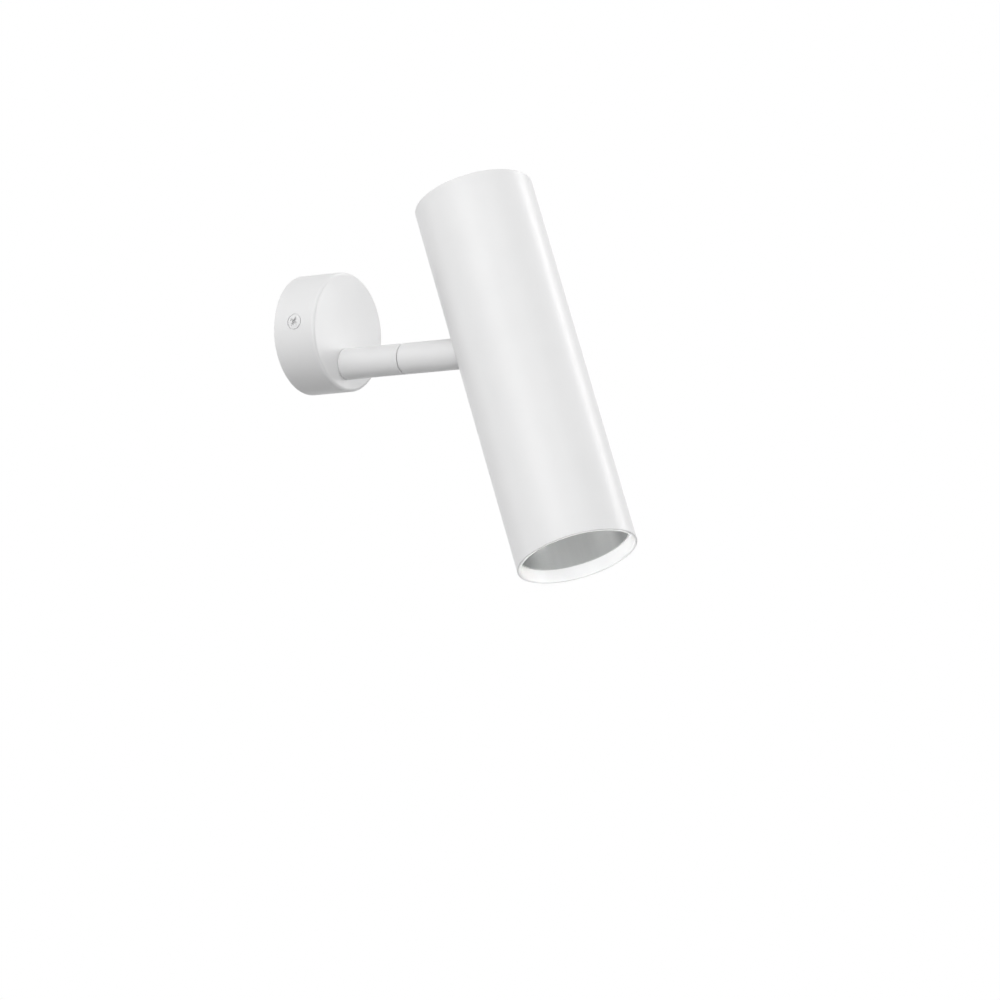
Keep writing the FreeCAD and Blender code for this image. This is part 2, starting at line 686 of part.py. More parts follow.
def make_terminal_block():
    body = new_body("terminal_block")
    base = sketch_on(body, "XZ_Plane", lift=dim.strap_thickness)
    length = dim.block_half_length
    width = dim.block_half_width
    rectangle(base, -length, -width, length, width)
    pad(body, base, dim.block_base_top - dim.strap_thickness)
    towers = sketch_on(body, "XZ_Plane", lift=dim.block_base_top)
    screws = sketch_on(body, "XZ_Plane", lift=dim.tower_top)
    bores = sketch_on(body, "XY_Plane")
    for pole in (-1, 0, 1):
        across = pole * dim.pole_spacing
        circle(bores, across, -dim.sleeve_distance, dim.sleeve_radius + dim.thread_clearance)
        for side in (-1, 1):
            circle(towers, across, side * dim.tower_offset, dim.tower_radius)
            circle(screws, across, side * dim.tower_offset, dim.clamp_radius + dim.loose_clearance)
    pad(body, towers, dim.tower_top - dim.block_base_top)
    pocket(body, screws, dim.tower_top - dim.sleeve_distance)
    pocket(body, bores, symmetric=True)
    fixings = sketch_on(body, "XZ_Plane")
    for side in (-1, 1):
        circle(fixings, side * dim.pole_spacing / 2, 0, dim.block_screw_radius + dim.loose_clearance)
    pocket(body, fixings, reverse=True)


def make_terminal_sleeves():
    body = new_body("terminal_sleeves")
    first = -dim.pole_spacing
    tube = sketch_on(body, "XY_Plane")
    circle(tube, first, -dim.sleeve_distance, dim.sleeve_radius)
    circle(tube, first, -dim.sleeve_distance, dim.sleeve_bore)
    barrel = pad(body, tube, 2 * dim.sleeve_half_length, symmetric=True)
    holes = sketch_on(body, "XZ_Plane", lift=dim.sleeve_distance)
    for side in (-1, 1):
        circle(holes, first, side * dim.tower_offset, dim.clamp_radius + dim.thread_clearance)
    threads = pocket(body, holes, dim.sleeve_radius, reverse=True)
    span = (dim.pole_count - 1) * dim.pole_spacing
    repeat_along(body, [barrel, threads], "X_Axis", span, dim.pole_count)


def make_terminal_screws():
    body = new_body("terminal_screws")
    first = -dim.pole_spacing
    shanks = sketch_on(body, "XZ_Plane", lift=dim.clamp_tip)
    slots = sketch_on(body, "XZ_Plane", lift=dim.clamp_top)
    reach = 2 * dim.clamp_radius
    half = dim.driver_slot / 2
    for side in (-1, 1):
        height = side * dim.tower_offset
        circle(shanks, first, height, dim.clamp_radius)
        rectangle(slots, first - reach, height - half, first + reach, height + half)
    screws = pad(body, shanks, dim.clamp_top - dim.clamp_tip)
    grooves = pocket(body, slots, dim.driver_slot)
    span = (dim.pole_count - 1) * dim.pole_spacing
    repeat_along(body, [screws, grooves], "X_Axis", span, dim.pole_count)


def make_block_screws():
    body = new_body("block_screws")
    across = dim.pole_spacing / 2
    seat = dim.block_base_top
    shank = sketch_on(body, "XZ_Plane", lift=dim.screw_tip_gap)
    circle(shank, across, 0, dim.block_screw_radius)
    shaft = pad(body, shank, seat - dim.screw_tip_gap)
    head = sketch_on(body, "XZ_Plane", lift=seat)
    circle(head, across, 0, dim.block_screw_head)
    cap = pad(body, head, dim.block_screw_rise)
    slot = sketch_on(body, "XZ_Plane", lift=seat + dim.block_screw_rise)
    half = dim.driver_slot / 2
    rectangle(slot, across - half, -dim.block_screw_head, across + half, dim.block_screw_head)
    groove = pocket(body, slot, dim.driver_slot)
    mirror(body, [shaft, cap, groove], "YZ_Plane")


def earth_barrel_axis():
    """The barrel lies on the collar's face, this far from the wall."""
    return dim.earth_boss_reach + dim.earth_barrel_radius


def make_earth_tag():
    """A ring terminal with its barrel to one side."""
    body = new_body("earth_tag")
    seat = dim.earth_boss_reach
    ring_sketch = sketch_on(body, "XZ_Plane", lift=seat)
    circle(ring_sketch, 0, dim.earth_height, dim.earth_tag_radius)
    pad(body, ring_sketch, dim.earth_tag_thickness)
    axis = earth_barrel_axis()
    barrel = sketch_on(body, "YZ_Plane", lift=dim.earth_barrel_start)
    circle(barrel, -axis, dim.earth_height, dim.earth_barrel_radius)
    pad(body, barrel, dim.earth_barrel_end - dim.earth_barrel_start)
    bore = sketch_on(body, "YZ_Plane", lift=dim.earth_barrel_end)
    circle(bore, -axis, dim.earth_height, dim.lead_radius + dim.thread_clearance)
    pocket(body, bore, dim.earth_barrel_end - dim.earth_tag_radius)
    hole = sketch_on(body, "XZ_Plane")
    circle(hole, 0, dim.earth_height, dim.earth_thread_radius + dim.loose_clearance)
    pocket(body, hole, reverse=True)


def make_earth_screw():
    body = new_body("earth_screw")
    seat = dim.earth_boss_reach + dim.earth_tag_thickness
    top = seat + dim.earth_head_height
    turn_from_wall(body, [
        (0, dim.screw_tip_gap),
        (dim.earth_thread_radius, dim.screw_tip_gap),
        (dim.earth_thread_radius, seat),
        (dim.earth_head_radius, seat),
        (dim.earth_head_radius, top),
        (0, top),
    ])
    slot = sketch_on(body, "XZ_Plane", lift=top)
    half = dim.driver_slot / 2
    rectangle(slot, -half, -dim.earth_head_radius, half, dim.earth_head_radius)
    pocket(body, slot, 2 * dim.driver_slot)
    place(body, 0, 0, dim.earth_height)


# Arm, rear half: it is screwed into the rose and stays still.

def make_arm_base():
    body = new_body("arm_base")
    end = dim.split_distance - dim.split_gap / 2
    step = end - dim.thread_depth
    socket = dim.bolt_radius + dim.thread_clearance
    neck = dim.arm_radius - dim.relief_depth
    turn_from_wall(body, [
        (dim.arm_bore, dim.stem_start),
        (dim.stem_radius, dim.stem_start),
        (dim.stem_radius, dim.rose_depth),
        (neck, dim.rose_depth),
        (neck, dim.rose_depth + dim.relief_width),
        (dim.arm_radius, dim.rose_depth + dim.relief_width),
        (dim.arm_radius, end),
        (socket, end),
        (socket, step),
        (dim.arm_bore, step),
    ])
    chamfer(body, dim.arm_edge, ring(dim.arm_radius, 1, -end))
    hole = sketch_on(body, "XZ_Plane", lift=end)
    circle(hole, 0, dim.stop_radius, dim.stop_pin_radius + dim.thread_clearance)
    pocket(body, hole, end - dim.stop_pin_start)
    place_on_arm(body)


def make_stem_washer():
    body = new_body("stem_washer")
    face = dim.rose_depth - dim.rose_face_wall
    turn_from_wall(body, [
        (dim.stem_hole_radius, face - dim.lock_washer_thickness),
        (dim.lock_washer_radius, face - dim.lock_washer_thickness),
        (dim.lock_washer_radius, face),
        (dim.stem_hole_radius, face),
    ])
    place_on_arm(body)


def make_stem_nut():
    body = new_body("stem_nut")
    seat = dim.rose_depth - dim.rose_face_wall - dim.lock_washer_thickness
    hexagon = sketch_on(body, "XZ_Plane", lift=seat)
    polygon(hexagon, 6, as_size(0), as_size(0), dim.nut_flats_radius)
    circle(hexagon, 0, 0, dim.nut_bore)
    pad(body, hexagon, dim.nut_height, reverse=True)
    place_on_arm(body)


def make_stem_bushing():
    body = new_body("stem_bushing")
    fit = dim.arm_bore - dim.thread_clearance
    turn_from_wall(body, [
        (dim.bushing_bore, dim.stem_start - dim.bushing_flange),
        (dim.bushing_flange_radius, dim.stem_start - dim.bushing_flange),
        (dim.bushing_flange_radius, dim.stem_start),
        (fit, dim.stem_start),
        (fit, dim.stem_start + dim.bushing_depth),
        (dim.bushing_bore, dim.stem_start + dim.bushing_depth),
    ])
    place_on_arm(body)


def web_rear():
    return dim.split_distance + dim.split_gap / 2


def web_front():
    return web_rear() + dim.web_thickness


def flange_seat():
    return web_front() + dim.spring_height + dim.running_clearance


def make_swivel_bolt():
    body = new_body("swivel_bolt")
    start = dim.split_distance - dim.split_gap / 2 - dim.thread_depth
    top = flange_seat() + dim.bolt_flange_height
    turn_from_wall(body, [
        (dim.bolt_bore, start),
        (dim.bolt_radius, start),
        (dim.bolt_radius, flange_seat()),
        (dim.bolt_flange_radius, flange_seat()),
        (dim.bolt_flange_radius, top),
        (dim.bolt_bore, top),
    ])
    slot = sketch_on(body, "XZ_Plane", lift=top)
    rectangle(slot, -dim.bolt_flange_radius, -dim.driver_slot, dim.bolt_flange_radius, dim.driver_slot)
    pocket(body, slot, dim.driver_slot)
    place_on_arm(body)


def make_swivel_ring():
    body = new_body("swivel_ring")
    seat = dim.split_distance - dim.split_gap / 2
    inside = dim.bolt_radius + dim.running_clearance
    turn_from_wall(body, [
        (inside, seat),
        (dim.ring_outside, seat),
        (dim.ring_outside, seat + dim.ring_thickness),
        (inside, seat + dim.ring_thickness),
    ])
    place_on_arm(body)


def make_stop_pin():
    body = new_body("stop_pin")
    pin = sketch_on(body, "XZ_Plane", lift=dim.stop_pin_start)
    circle(pin, 0, dim.stop_radius, dim.stop_pin_radius)
    pad(body, pin, dim.stop_pin_end - dim.stop_pin_start)
    place_on_arm(body)


# Arm, front half: it swivels and carries the tube.

def arm_front():
    return dim.pivot_distance - dim.arm_end


def make_arm_outer():
    body = new_body("arm_outer")
    hole = dim.bolt_radius + dim.running_clearance
    turn_from_wall(body, [
        (hole, web_rear()),
        (dim.arm_radius, web_rear()),
        (dim.arm_radius, arm_front()),
        (dim.front_bore, arm_front()),
        (dim.front_bore, web_front()),
        (hole, web_front()),
    ])
    chamfer(body, dim.arm_edge, ring(dim.arm_radius, 1, -web_rear()))
    chamfer(body, dim.arm_edge, ring(dim.arm_radius, 1, -arm_front()))
    groove = sketch_on(body, "XZ_Plane", lift=web_rear())
    outer = dim.stop_radius + dim.stop_groove_half_width
    inner = dim.stop_radius - dim.stop_groove_half_width
    half_gap = dim.stop_groove_gap / 2
    across, down = sine(half_gap), cosine(half_gap)
    outline(groove, [
        (-(outer * across), -(outer * down)),
        (outer * across, -(outer * down), 0, 0, -1),
        (inner * across, -(inner * down)),
        (-(inner * across), -(inner * down), 0, 0, 1),
    ])
    pocket(body, groove, dim.stop_groove_depth, reverse=True)
    grub = sketch_on(body, "XY_Plane")
    circle(grub, 0, dim.grub_distance - arm_front(), dim.grub_radius + dim.thread_clearance)
    pocket(body, grub)
    place_on_arm(body)


def make_spring_washer():
    """A coned washer that presses the two halves of the arm together."""
    body = new_body("spring_washer")
    inside = dim.bolt_radius + dim.running_clearance + dim.loose_clearance
    outside = dim.bolt_flange_radius + dim.loose_clearance
    low = web_front()
    high = web_front() + dim.spring_height - dim.spring_thickness
    turn_from_wall(body, [
        (outside, low),
        (outside, low + dim.spring_thickness),
        (inside, high + dim.spring_thickness),
        (inside, high),
    ])
    place_on_arm(body)


def make_pivot_tongue():
    """A turned plug and collar with a flat, rounded tongue, and a wire channel down each side."""
    body = new_body("pivot_tongue")
    plug = dim.front_bore - dim.thread_clearance
    collar = arm_front() + dim.collar_thickness
    turn_from_wall(body, [
        (0, arm_front() - dim.plug_depth),
        (plug, arm_front() - dim.plug_depth),
        (plug, arm_front()),
        (dim.collar_radius, arm_front()),
        (dim.collar_radius, collar),
        (0, collar),
    ])
    chamfer(body, dim.arm_edge, ring(dim.collar_radius, 1, -collar))
    tongue = sketch_on(body, "YZ_Plane")
    round_radius = dim.knuckle_radius
    outline(tongue, [
        (dim.collar_thickness / 2 - collar, -round_radius),
        (dim.collar_thickness / 2 - collar, round_radius),
        (-dim.pivot_distance, round_radius),
        (-dim.pivot_distance, -round_radius, -dim.pivot_distance, 0, 1),
    ])
    pad(body, tongue, 2 * dim.tongue_half_thickness, symmetric=True)
    pivot = sketch_on(body, "YZ_Plane")
    circle(pivot, -dim.pivot_distance, 0, dim.pivot_radius + dim.running_clearance)
    pocket(body, pivot, symmetric=True)
    channels = sketch_on(body, "XZ_Plane", lift=collar)
    for side in (-1, 1):
        circle(channels, side * dim.channel_offset, 0, dim.channel_radius)
    pocket(body, channels)
    grub = sketch_on(body, "XY_Plane", lift=-dim.grub_inner)
    circle(grub, 0, dim.grub_distance - arm_front(), dim.grub_radius + dim.thread_clearance)
    pocket(body, grub)
    place_on_arm(body)


def make_arm_set_screw():
    body = new_body("arm_set_screw")
    grub = sketch_on(body, "XY_Plane", lift=-dim.grub_outer)
    circle(grub, 0, dim.grub_distance - arm_front(), dim.grub_radius)
    pad(body, grub, dim.grub_outer - dim.grub_inner)
    socket = sketch_on(body, "XY_Plane", lift=-dim.grub_outer)
    polygon(socket, 6, as_size(0), dim.grub_distance - arm_front(), dim.grub_radius / 2)
    pocket(body, socket, dim.grub_radius / 2, reverse=True)
    place_on_arm(body)


# Tube and what it holds: it all tilts together.

def ring_seat():
    """The step inside the tube's mouth that the mouth ring stands against."""
    return dim.mouth_ring_length - dim.tube_below


def make_head_tube():
    body = new_body("head_tube")
    inside = dim.tube_radius - dim.tube_wall
    turn_upright(body, [
        (inside, ring_seat()),
        (dim.tube_radius - dim.mouth_wall, ring_seat()),
        (dim.tube_radius - dim.mouth_wall, -dim.tube_below),
        (dim.tube_radius, -dim.tube_below),
        (dim.tube_radius, dim.tube_above),
        (inside, dim.tube_above),
    ])
    fillet(body, dim.tube_edge, ring(dim.tube_radius, 2, -dim.tube_below))
    fillet(body, dim.tube_edge, ring(dim.tube_radius, 2, dim.tube_above))
    slot = sketch_on(body, "XZ_Plane")
    half = dim.slot_half_width
    low = half - dim.slot_bottom
    high = dim.slot_top - half
    outline(slot, [(half, high), (-half, high, 0, high, 1), (-half, low), (half, low, 0, low, 1)])
    pocket(body, slot)
    hole = sketch_on(body, "XZ_Plane", turn=dim.tab_screw_angle)
    circle(hole, 0, -dim.tab_screw_drop, dim.tab_hole_radius)
    hole_cut = pocket(body, hole)
    mirror(body, [hole_cut], "YZ_Plane")
    place_in_tube(body)


def pushed_radius():
    """The radius of what is pushed into the tube."""
    return dim.tube_radius - dim.tube_wall - dim.loose_clearance


def make_top_cap():
    body = new_body("top_cap")
    top = dim.tube_above - dim.cap_inset
    outside = pushed_radius()
    inside = outside - dim.cap_plate
    turn_upright(body, [
        (0, top - dim.cap_plate),
        (inside, top - dim.cap_plate),
        (inside, top - dim.cap_skirt),
        (outside, top - dim.cap_skirt),
        (outside, top),
        (0, top),
    ])
    fillet(body, dim.cap_round, ring(outside, 2, top))
    place_in_tube(body)


def plate_bottom():
    return -dim.plate_drop - dim.sheet


def make_head_bracket():
    """A pressed plate with two cheeks bent up for the tilt bolt and a curved tab bent down at the rear."""
    body = new_body("head_bracket")
    plate = sketch_on(body, "XY_Plane", lift=plate_bottom())
    edge = dim.plate_half_width
    corner = root(dim.plate_radius * dim.plate_radius - edge * edge)
    outline(plate, [
        (edge, corner),
        (-edge, corner, 0, 0, 1),
        (-edge, -corner),
        (edge, -corner, 0, 0, 1),
    ])
    pad(body, plate, dim.sheet)
    cheek = sketch_on(body, "YZ_Plane", lift=dim.cheek_gap)
    half = dim.knuckle_radius
    outline(cheek, [(half, plate_bottom()), (half, 0), (-half, 0, 0, 0, 1), (-half, plate_bottom())])
    cheek_pad = pad(body, cheek, dim.sheet)
    mirror(body, [cheek_pad], "YZ_Plane")
    pivot = sketch_on(body, "YZ_Plane")
    circle(pivot, 0, 0, dim.pivot_radius + dim.thread_clearance)
    pocket(body, pivot, symmetric=True)
    tab = sketch_on(body, "XY_Plane", lift=-dim.plate_drop)
    outer = dim.plate_radius
    inner = outer - dim.sheet
    across, back = sine(dim.tab_half_angle), cosine(dim.tab_half_angle)
    outline(tab, [
        (outer * across, outer * back),
        (-(outer * across), outer * back, 0, 0, 1),
        (-(inner * across), inner * back),
        (inner * across, inner * back, 0, 0, -1),
    ])
    pad(body, tab, dim.tab_depth, reverse=True)
    threads = sketch_on(body, "XZ_Plane", turn=dim.tab_screw_angle)
    circle(threads, 0, -dim.tab_screw_drop, dim.tab_thread_radius + dim.thread_clearance)
    mirror(body, [pocket(body, threads)], "YZ_Plane")
    holes = sketch_on(body, "XY_Plane")
    for side in (-1, 1):
        circle(holes, side * dim.lead_head_offset, 0, dim.lead_hole_radius)
        circle(holes, 0, side * dim.holder_screw_offset, dim.tab_hole_radius)
    pocket(body, holes)
    place_in_tube(body)


def make_bracket_screws():
    """Domed screws that enter the tube from outside, square to its wall."""
    body = new_body("bracket_screws")
    profile = sketch_on(body, "YZ_Plane", slide=-dim.tab_screw_drop, turn=dim.tab_screw_angle)
    seat = dim.tube_radius
    rim = seat + dim.tab_head_rim
    crown = rim + dim.tab_head_dome
    half_chord = dim.tab_head_radius
    rise = dim.tab_head_dome
    dome_radius = (half_chord * half_chord + rise * rise) / (2 * rise)
    tip = seat - dim.tab_screw_length
    outline(profile, [
        (tip, 0),
        (crown, 0),
        (rim, dim.tab_head_radius, crown - dome_radius, 0, 1),
        (seat, dim.tab_head_radius),
        (seat, dim.tab_thread_radius),
        (tip, dim.tab_thread_radius),
    ])
    screw = revolve(body, profile, "H_Axis")
    socket = sketch_on(body, "XZ_Plane", turn=dim.tab_screw_angle, lift=-crown)
    polygon(socket, 6, as_size(0), -dim.tab_screw_drop, dim.socket_radius)
    socket_cut = pocket(body, socket, dim.socket_depth, reverse=True)
    mirror(body, [screw, socket_cut], "YZ_Plane")
    place_in_tube(body)


def cheek_outside():
    return dim.cheek_gap + dim.sheet


def make_pivot_bolt():
    body = new_body("pivot_bolt")
    seat = -cheek_outside()
    top = seat - dim.pivot_head_height
    turn_crosswise(body, [
        (top, 0),
        (top, dim.pivot_head_radius),
        (seat, dim.pivot_head_radius),
        (seat, dim.pivot_radius),
        (dim.pivot_bolt_end, dim.pivot_radius),
        (dim.pivot_bolt_end, 0),
    ])
    chamfer(body, dim.arm_edge, ring(dim.pivot_head_radius, 0, top))
    socket = sketch_on(body, "YZ_Plane", lift=top)
    polygon(socket, 6, as_size(0), as_size(0), dim.pivot_socket_radius)
    pocket(body, socket, dim.pivot_head_height / 2, reverse=True)
    place_in_tube(body)


def make_pivot_nut():
    body = new_body("pivot_nut")
    hexagon = sketch_on(body, "YZ_Plane", lift=cheek_outside())
    polygon(hexagon, 6, as_size(0), as_size(0), dim.pivot_nut_radius)
    circle(hexagon, 0, 0, dim.pivot_radius + dim.thread_clearance)
    pad(body, hexagon, dim.pivot_nut_height)
    place_in_tube(body)


def make_friction_washers():
    body = new_body("friction_washers")
    start = dim.tongue_half_thickness + dim.friction_gap
    washer = sketch_on(body, "YZ_Plane", lift=start)
    circle(washer, 0, 0, dim.friction_radius)
    circle(washer, 0, 0, dim.pivot_radius + dim.running_clearance)
    mirror(body, [pad(body, washer, dim.cheek_gap - start)], "YZ_Plane")
    place_in_tube(body)


def holder_bottom():
    return plate_bottom() - dim.holder_height


def pin_entry(side):
    """The place of a pin's entry hole: the lamp turns from there to its seat."""
    distance = side * dim.pin_offset
    return distance * cosine(dim.pin_twist), -(distance * sine(dim.pin_twist))


def twist_slot(sketch, side, half):
    """An arc-shaped slot from a pin's entry hole to its seat."""
    seat = (side * dim.pin_offset, as_size(0))
    entry = pin_entry(side)
    wide = (dim.pin_offset + half) / dim.pin_offset
    narrow = (dim.pin_offset - half) / dim.pin_offset
    outline(sketch, [
        (seat[0] * wide, seat[1] * wide, 0, 0, 1),
        (seat[0] * narrow, seat[1] * narrow, *seat, 1),
        (entry[0] * narrow, entry[1] * narrow, 0, 0, -1),
        (entry[0] * wide, entry[1] * wide, *entry, 1),
    ])


def make_lamp_holder():
    """Ceramic, with two twist-lock slots below and holes for the leads and screws above."""
    body = new_body("lamp_holder")
    top = plate_bottom()
    step = top - dim.holder_step
    turn_upright(body, [
        (0, holder_bottom()),
        (dim.holder_skirt_radius, holder_bottom()),
        (dim.holder_skirt_radius, step),
        (dim.holder_radius, step),
        (dim.holder_radius, top),
        (0, top),
    ])
    chamfer(body, dim.holder_bevel, ring(dim.holder_radius, 2, step))
    entries = sketch_on(body, "XY_Plane", lift=holder_bottom())
    tracks = sketch_on(body, "XY_Plane", lift=holder_bottom())
    pockets = sketch_on(body, "XY_Plane", lift=holder_bottom() + dim.holder_floor)
    leads = sketch_on(body, "XY_Plane", lift=top)
    screws = sketch_on(body, "XY_Plane", lift=top)
    for side in (-1, 1):
        circle(entries, *pin_entry(side), dim.pin_entry_radius)
        twist_slot(tracks, side, dim.pin_track_half)
        twist_slot(pockets, side, dim.pin_entry_radius)
        circle(leads, side * dim.lead_head_offset, 0, dim.lead_hole_radius)
        circle(screws, 0, side * dim.holder_screw_offset, dim.tab_thread_radius + dim.thread_clearance)
    pocket(body, entries, dim.holder_floor, reverse=True)
    pocket(body, tracks, dim.holder_floor, reverse=True)
    pocket(body, pockets, dim.pin_pocket_depth - dim.holder_floor, reverse=True)
    pocket(body, leads, dim.holder_step)
    pocket(body, screws, dim.holder_screw_length)
    place_in_tube(body)


def make_holder_screws():
    body = new_body("holder_screws")
    seat = -dim.plate_drop
    shank = sketch_on(body, "XY_Plane", lift=seat)
    circle(shank, 0, dim.holder_screw_offset, dim.tab_thread_radius)
    shaft = pad(body, shank, dim.holder_screw_length, reverse=True)
    head = sketch_on(body, "XY_Plane", lift=seat)
    circle(head, 0, dim.holder_screw_offset, dim.tab_head_radius)
    cap = pad(body, head, dim.holder_screw_head)
    slot = sketch_on(body, "XY_Plane", lift=seat + dim.holder_screw_head)
    half = dim.driver_slot / 2
    away = dim.holder_screw_offset
    rectangle(slot, -dim.tab_head_radius, away - half, dim.tab_head_radius, away + half)
    groove = pocket(body, slot, dim.driver_slot)
    mirror(body, [shaft, cap, groove], "XZ_Plane")
    place_in_tube(body)


def lamp_face():
    return holder_bottom() - dim.lamp_length


def make_lamp_body():
    """The lamp's housing: a neck, a ribbed side that flares along an arc, and a rim round the lens."""
    body = new_body("lamp_body")
    neck_end = holder_bottom() - dim.lamp_neck_length
    rim_top = lamp_face() + dim.lamp_rim_height
    flare_start = dim.lamp_rim_radius - dim.rib_height
    across = flare_start - dim.lamp_neck_radius
    along = neck_end - rim_top
    chord = root(across * across + along * along)
    sagitta_leg = root(dim.lamp_flare_radius * dim.lamp_flare_radius - chord * chord / 4)
    middle_radius = (dim.lamp_neck_radius + flare_start) / 2
    middle_height = (neck_end + rim_top) / 2
    centre_radius = middle_radius - sagitta_leg * along / chord
    centre_height = middle_height - sagitta_leg * across / chord
    seat = lamp_face() + dim.lens_thickness
    turn_upright(body, [
        (0, holder_bottom()),
        (0, seat),
        (dim.lens_radius + dim.loose_clearance, seat),
        (dim.lens_radius + dim.loose_clearance, lamp_face()),
        (dim.lamp_rim_radius, lamp_face()),
        (dim.lamp_rim_radius, rim_top),
        (flare_start, rim_top),
        (dim.lamp_neck_radius, neck_end, centre_radius, centre_height, 1),
        (dim.lamp_neck_radius, holder_bottom()),
    ])
    chamfer(body, dim.holder_bevel, ring(dim.lamp_neck_radius, 2, holder_bottom()))
    side = dim.lamp_flare_radius + dim.rib_height
    low_leg = rim_top - centre_height
    high_leg = neck_end - centre_height
    low_radius = centre_radius + root(side * side - low_leg * low_leg)
    high_radius = centre_radius + root(side * side - high_leg * high_leg)
    rib = sketch_on(body, "XZ_Plane")
    outline(rib, [
        (low_radius - dim.rib_root, rim_top),
        (low_radius, rim_top),
        (high_radius, neck_end, centre_radius, centre_height, 1),
        (high_radius - dim.rib_root, neck_end),
    ])
    rib_pad = pad(body, rib, dim.rib_width, symmetric=True)
    repeat_round(body, [rib_pad], "Z_Axis", dim.rib_count)
    place_in_tube(body)


def make_lamp_lens():
    body = new_body("lamp_lens")
    top = lamp_face() + dim.lens_thickness
    bottom = lamp_face() - dim.lens_dome
    edge = dim.lens_radius
    rise = dim.lens_dome
    dome_radius = (edge * edge + rise * rise) / (2 * rise)
    turn_upright(body, [
        (0, bottom),
        (edge, lamp_face(), 0, bottom + dome_radius, 1),
        (edge, top),
        (0, top),
    ])
    place_in_tube(body)


def make_lamp_pins():
    body = new_body("lamp_pins")
    start = holder_bottom()
    shank = sketch_on(body, "XY_Plane", lift=start)
    circle(shank, dim.pin_offset, 0, dim.pin_radius)
    shaft = pad(body, shank, dim.pin_length)
    head = sketch_on(body, "XY_Plane", lift=start + dim.pin_length - dim.pin_head_height)
    circle(head, dim.pin_offset, 0, dim.pin_head_radius)
    cap = pad(body, head, dim.pin_head_height)
    mirror(body, [shaft, cap], "YZ_Plane")
    place_in_tube(body)


def make_mouth_ring():
    """The white ring that lines the mouth, flush with the tube's end, with a lip round its rear."""
    body = new_body("mouth_ring")
    outside = dim.tube_radius - dim.mouth_wall - dim.loose_clearance
    turn_upright(body, [
        (dim.mouth_ring_radius, -dim.tube_below),
        (outside, -dim.tube_below),
        (outside, ring_seat()),
        (dim.ring_lip_radius, ring_seat()),
        (dim.ring_lip_radius, ring_seat() - dim.ring_lip_height),
        (dim.mouth_ring_radius, ring_seat() - dim.ring_lip_height),
    ])
    place_in_tube(body)


def make_reflector_sleeve():
    """The plain metal sleeve behind the mouth ring. Its flange stands on the ring's lip, and its
    top is turned in to centre the lamp."""
    body = new_body("reflector_sleeve")
    bottom = dim.sleeve_inset - dim.tube_below
    top = bottom + dim.sleeve_length
    outside = dim.reflector_radius
    inside = outside - dim.sleeve_wall
    turn_upright(body, [
        (inside, bottom),
        (outside, bottom),
        (outside, ring_seat()),
        (pushed_radius(), ring_seat()),
        (pushed_radius(), ring_seat() + dim.sleeve_wall),
        (outside, ring_seat() + dim.sleeve_wall),
        (outside, top),
        (dim.sleeve_lip_radius, top),
        (dim.sleeve_lip_radius, top - dim.sleeve_wall),
        (inside, top - dim.sleeve_wall),
    ])
    place_in_tube(body)


# Leads: each is a tube along straight runs joined by tangent arcs.

def point(x, y, z):
    return Vector(as_size(x).number, as_size(y).number, as_size(z).number)


def rounded_run(points, bend):
    """Straight runs between the points, with an arc of radius bend at each inner point."""
    edges = []
    start = points[0]
    for before, corner, after in zip(points, points[1:], points[2:]):
        inward = (before - corner).normalize()
        outward = (after - corner).normalize()
        half_angle = inward.getAngle(outward) / 2
        setback = bend.number / math.tan(half_angle)
        first = corner + inward * setback
        last = corner + outward * setback
        bisector = (inward + outward).normalize()
        centre = corner + bisector * (bend.number / math.sin(half_angle))
        middle = centre - bisector * bend.number
        edges.append(Part.LineSegment(start, first).toShape())
        edges.append(Part.Arc(first, middle, last).toShape())
        start = last
    edges.append(Part.LineSegment(start, points[-1]).toShape())
    return Part.Wire(edges)


def lead(points, bend):
    """One insulated lead. Its volume is held against its section times its length."""
    path = rounded_run(points, bend)
    radius = dim.lead_radius.number
    section = Part.Wire(Part.makeCircle(radius, points[0], points[1] - points[0]))
    solid = path.makePipeShell([section], True, False)
    expected = math.pi * radius ** 2 * path.Length
    if abs(solid.Volume / expected - 1) > 0.01:
        raise ValueError("a lead's volume is not its section times its length")
    return solid


def add_leads(label, solids, place_leads=None):
    feature = doc.addObject("Part::Feature", label)
    feature.Label = label
    feature.Shape = solids[0] if len(solids) == 1 else Part.makeCompound(solids)
    if place_leads:
        place_leads(feature)
    subparts.append(feature)


def make_rose_leads():
    """From the outer poles of the block, down, into the stem and through the swivel bolt."""
    solids = []
    for side in (-1, 1):
        pole = side * dim.pole_spacing
        inner = side * dim.lead_half_spacing
        depth = -dim.sleeve_distance
        entry = depth - 3 * dim.lead_radius / 2
        solids.append(lead([
            point(pole, depth, -dim.sleeve_half_length / 2),
            point(pole, depth, -dim.block_half_width - dim.lead_run),
            point(inner, entry, -dim.arm_drop),
            point(inner, -dim.joint_reach, -dim.arm_drop),
        ], dim.small_bend))
    add_leads("rose_leads", solids)


def make_earth_lead():
    """From the middle pole, round the earth screw, into the tag's barrel."""
    depth = -dim.sleeve_distance
    barrel = -earth_barrel_axis()
    clear = dim.block_half_width + dim.lead_radius + dim.loose_clearance
    far = dim.earth_barrel_end + dim.lead_run
    solids = [lead([
        point(0, depth, dim.sleeve_half_length / 2),
        point(0, depth, clear),
        point(dim.earth_barrel_end, depth, clear + dim.lead_radius / 2),
        point(far, barrel, dim.earth_height),
        point(dim.earth_barrel_end - dim.lead_grip, barrel, dim.earth_height),
    ], dim.lead_radius)]
    add_leads("earth_lead", solids)


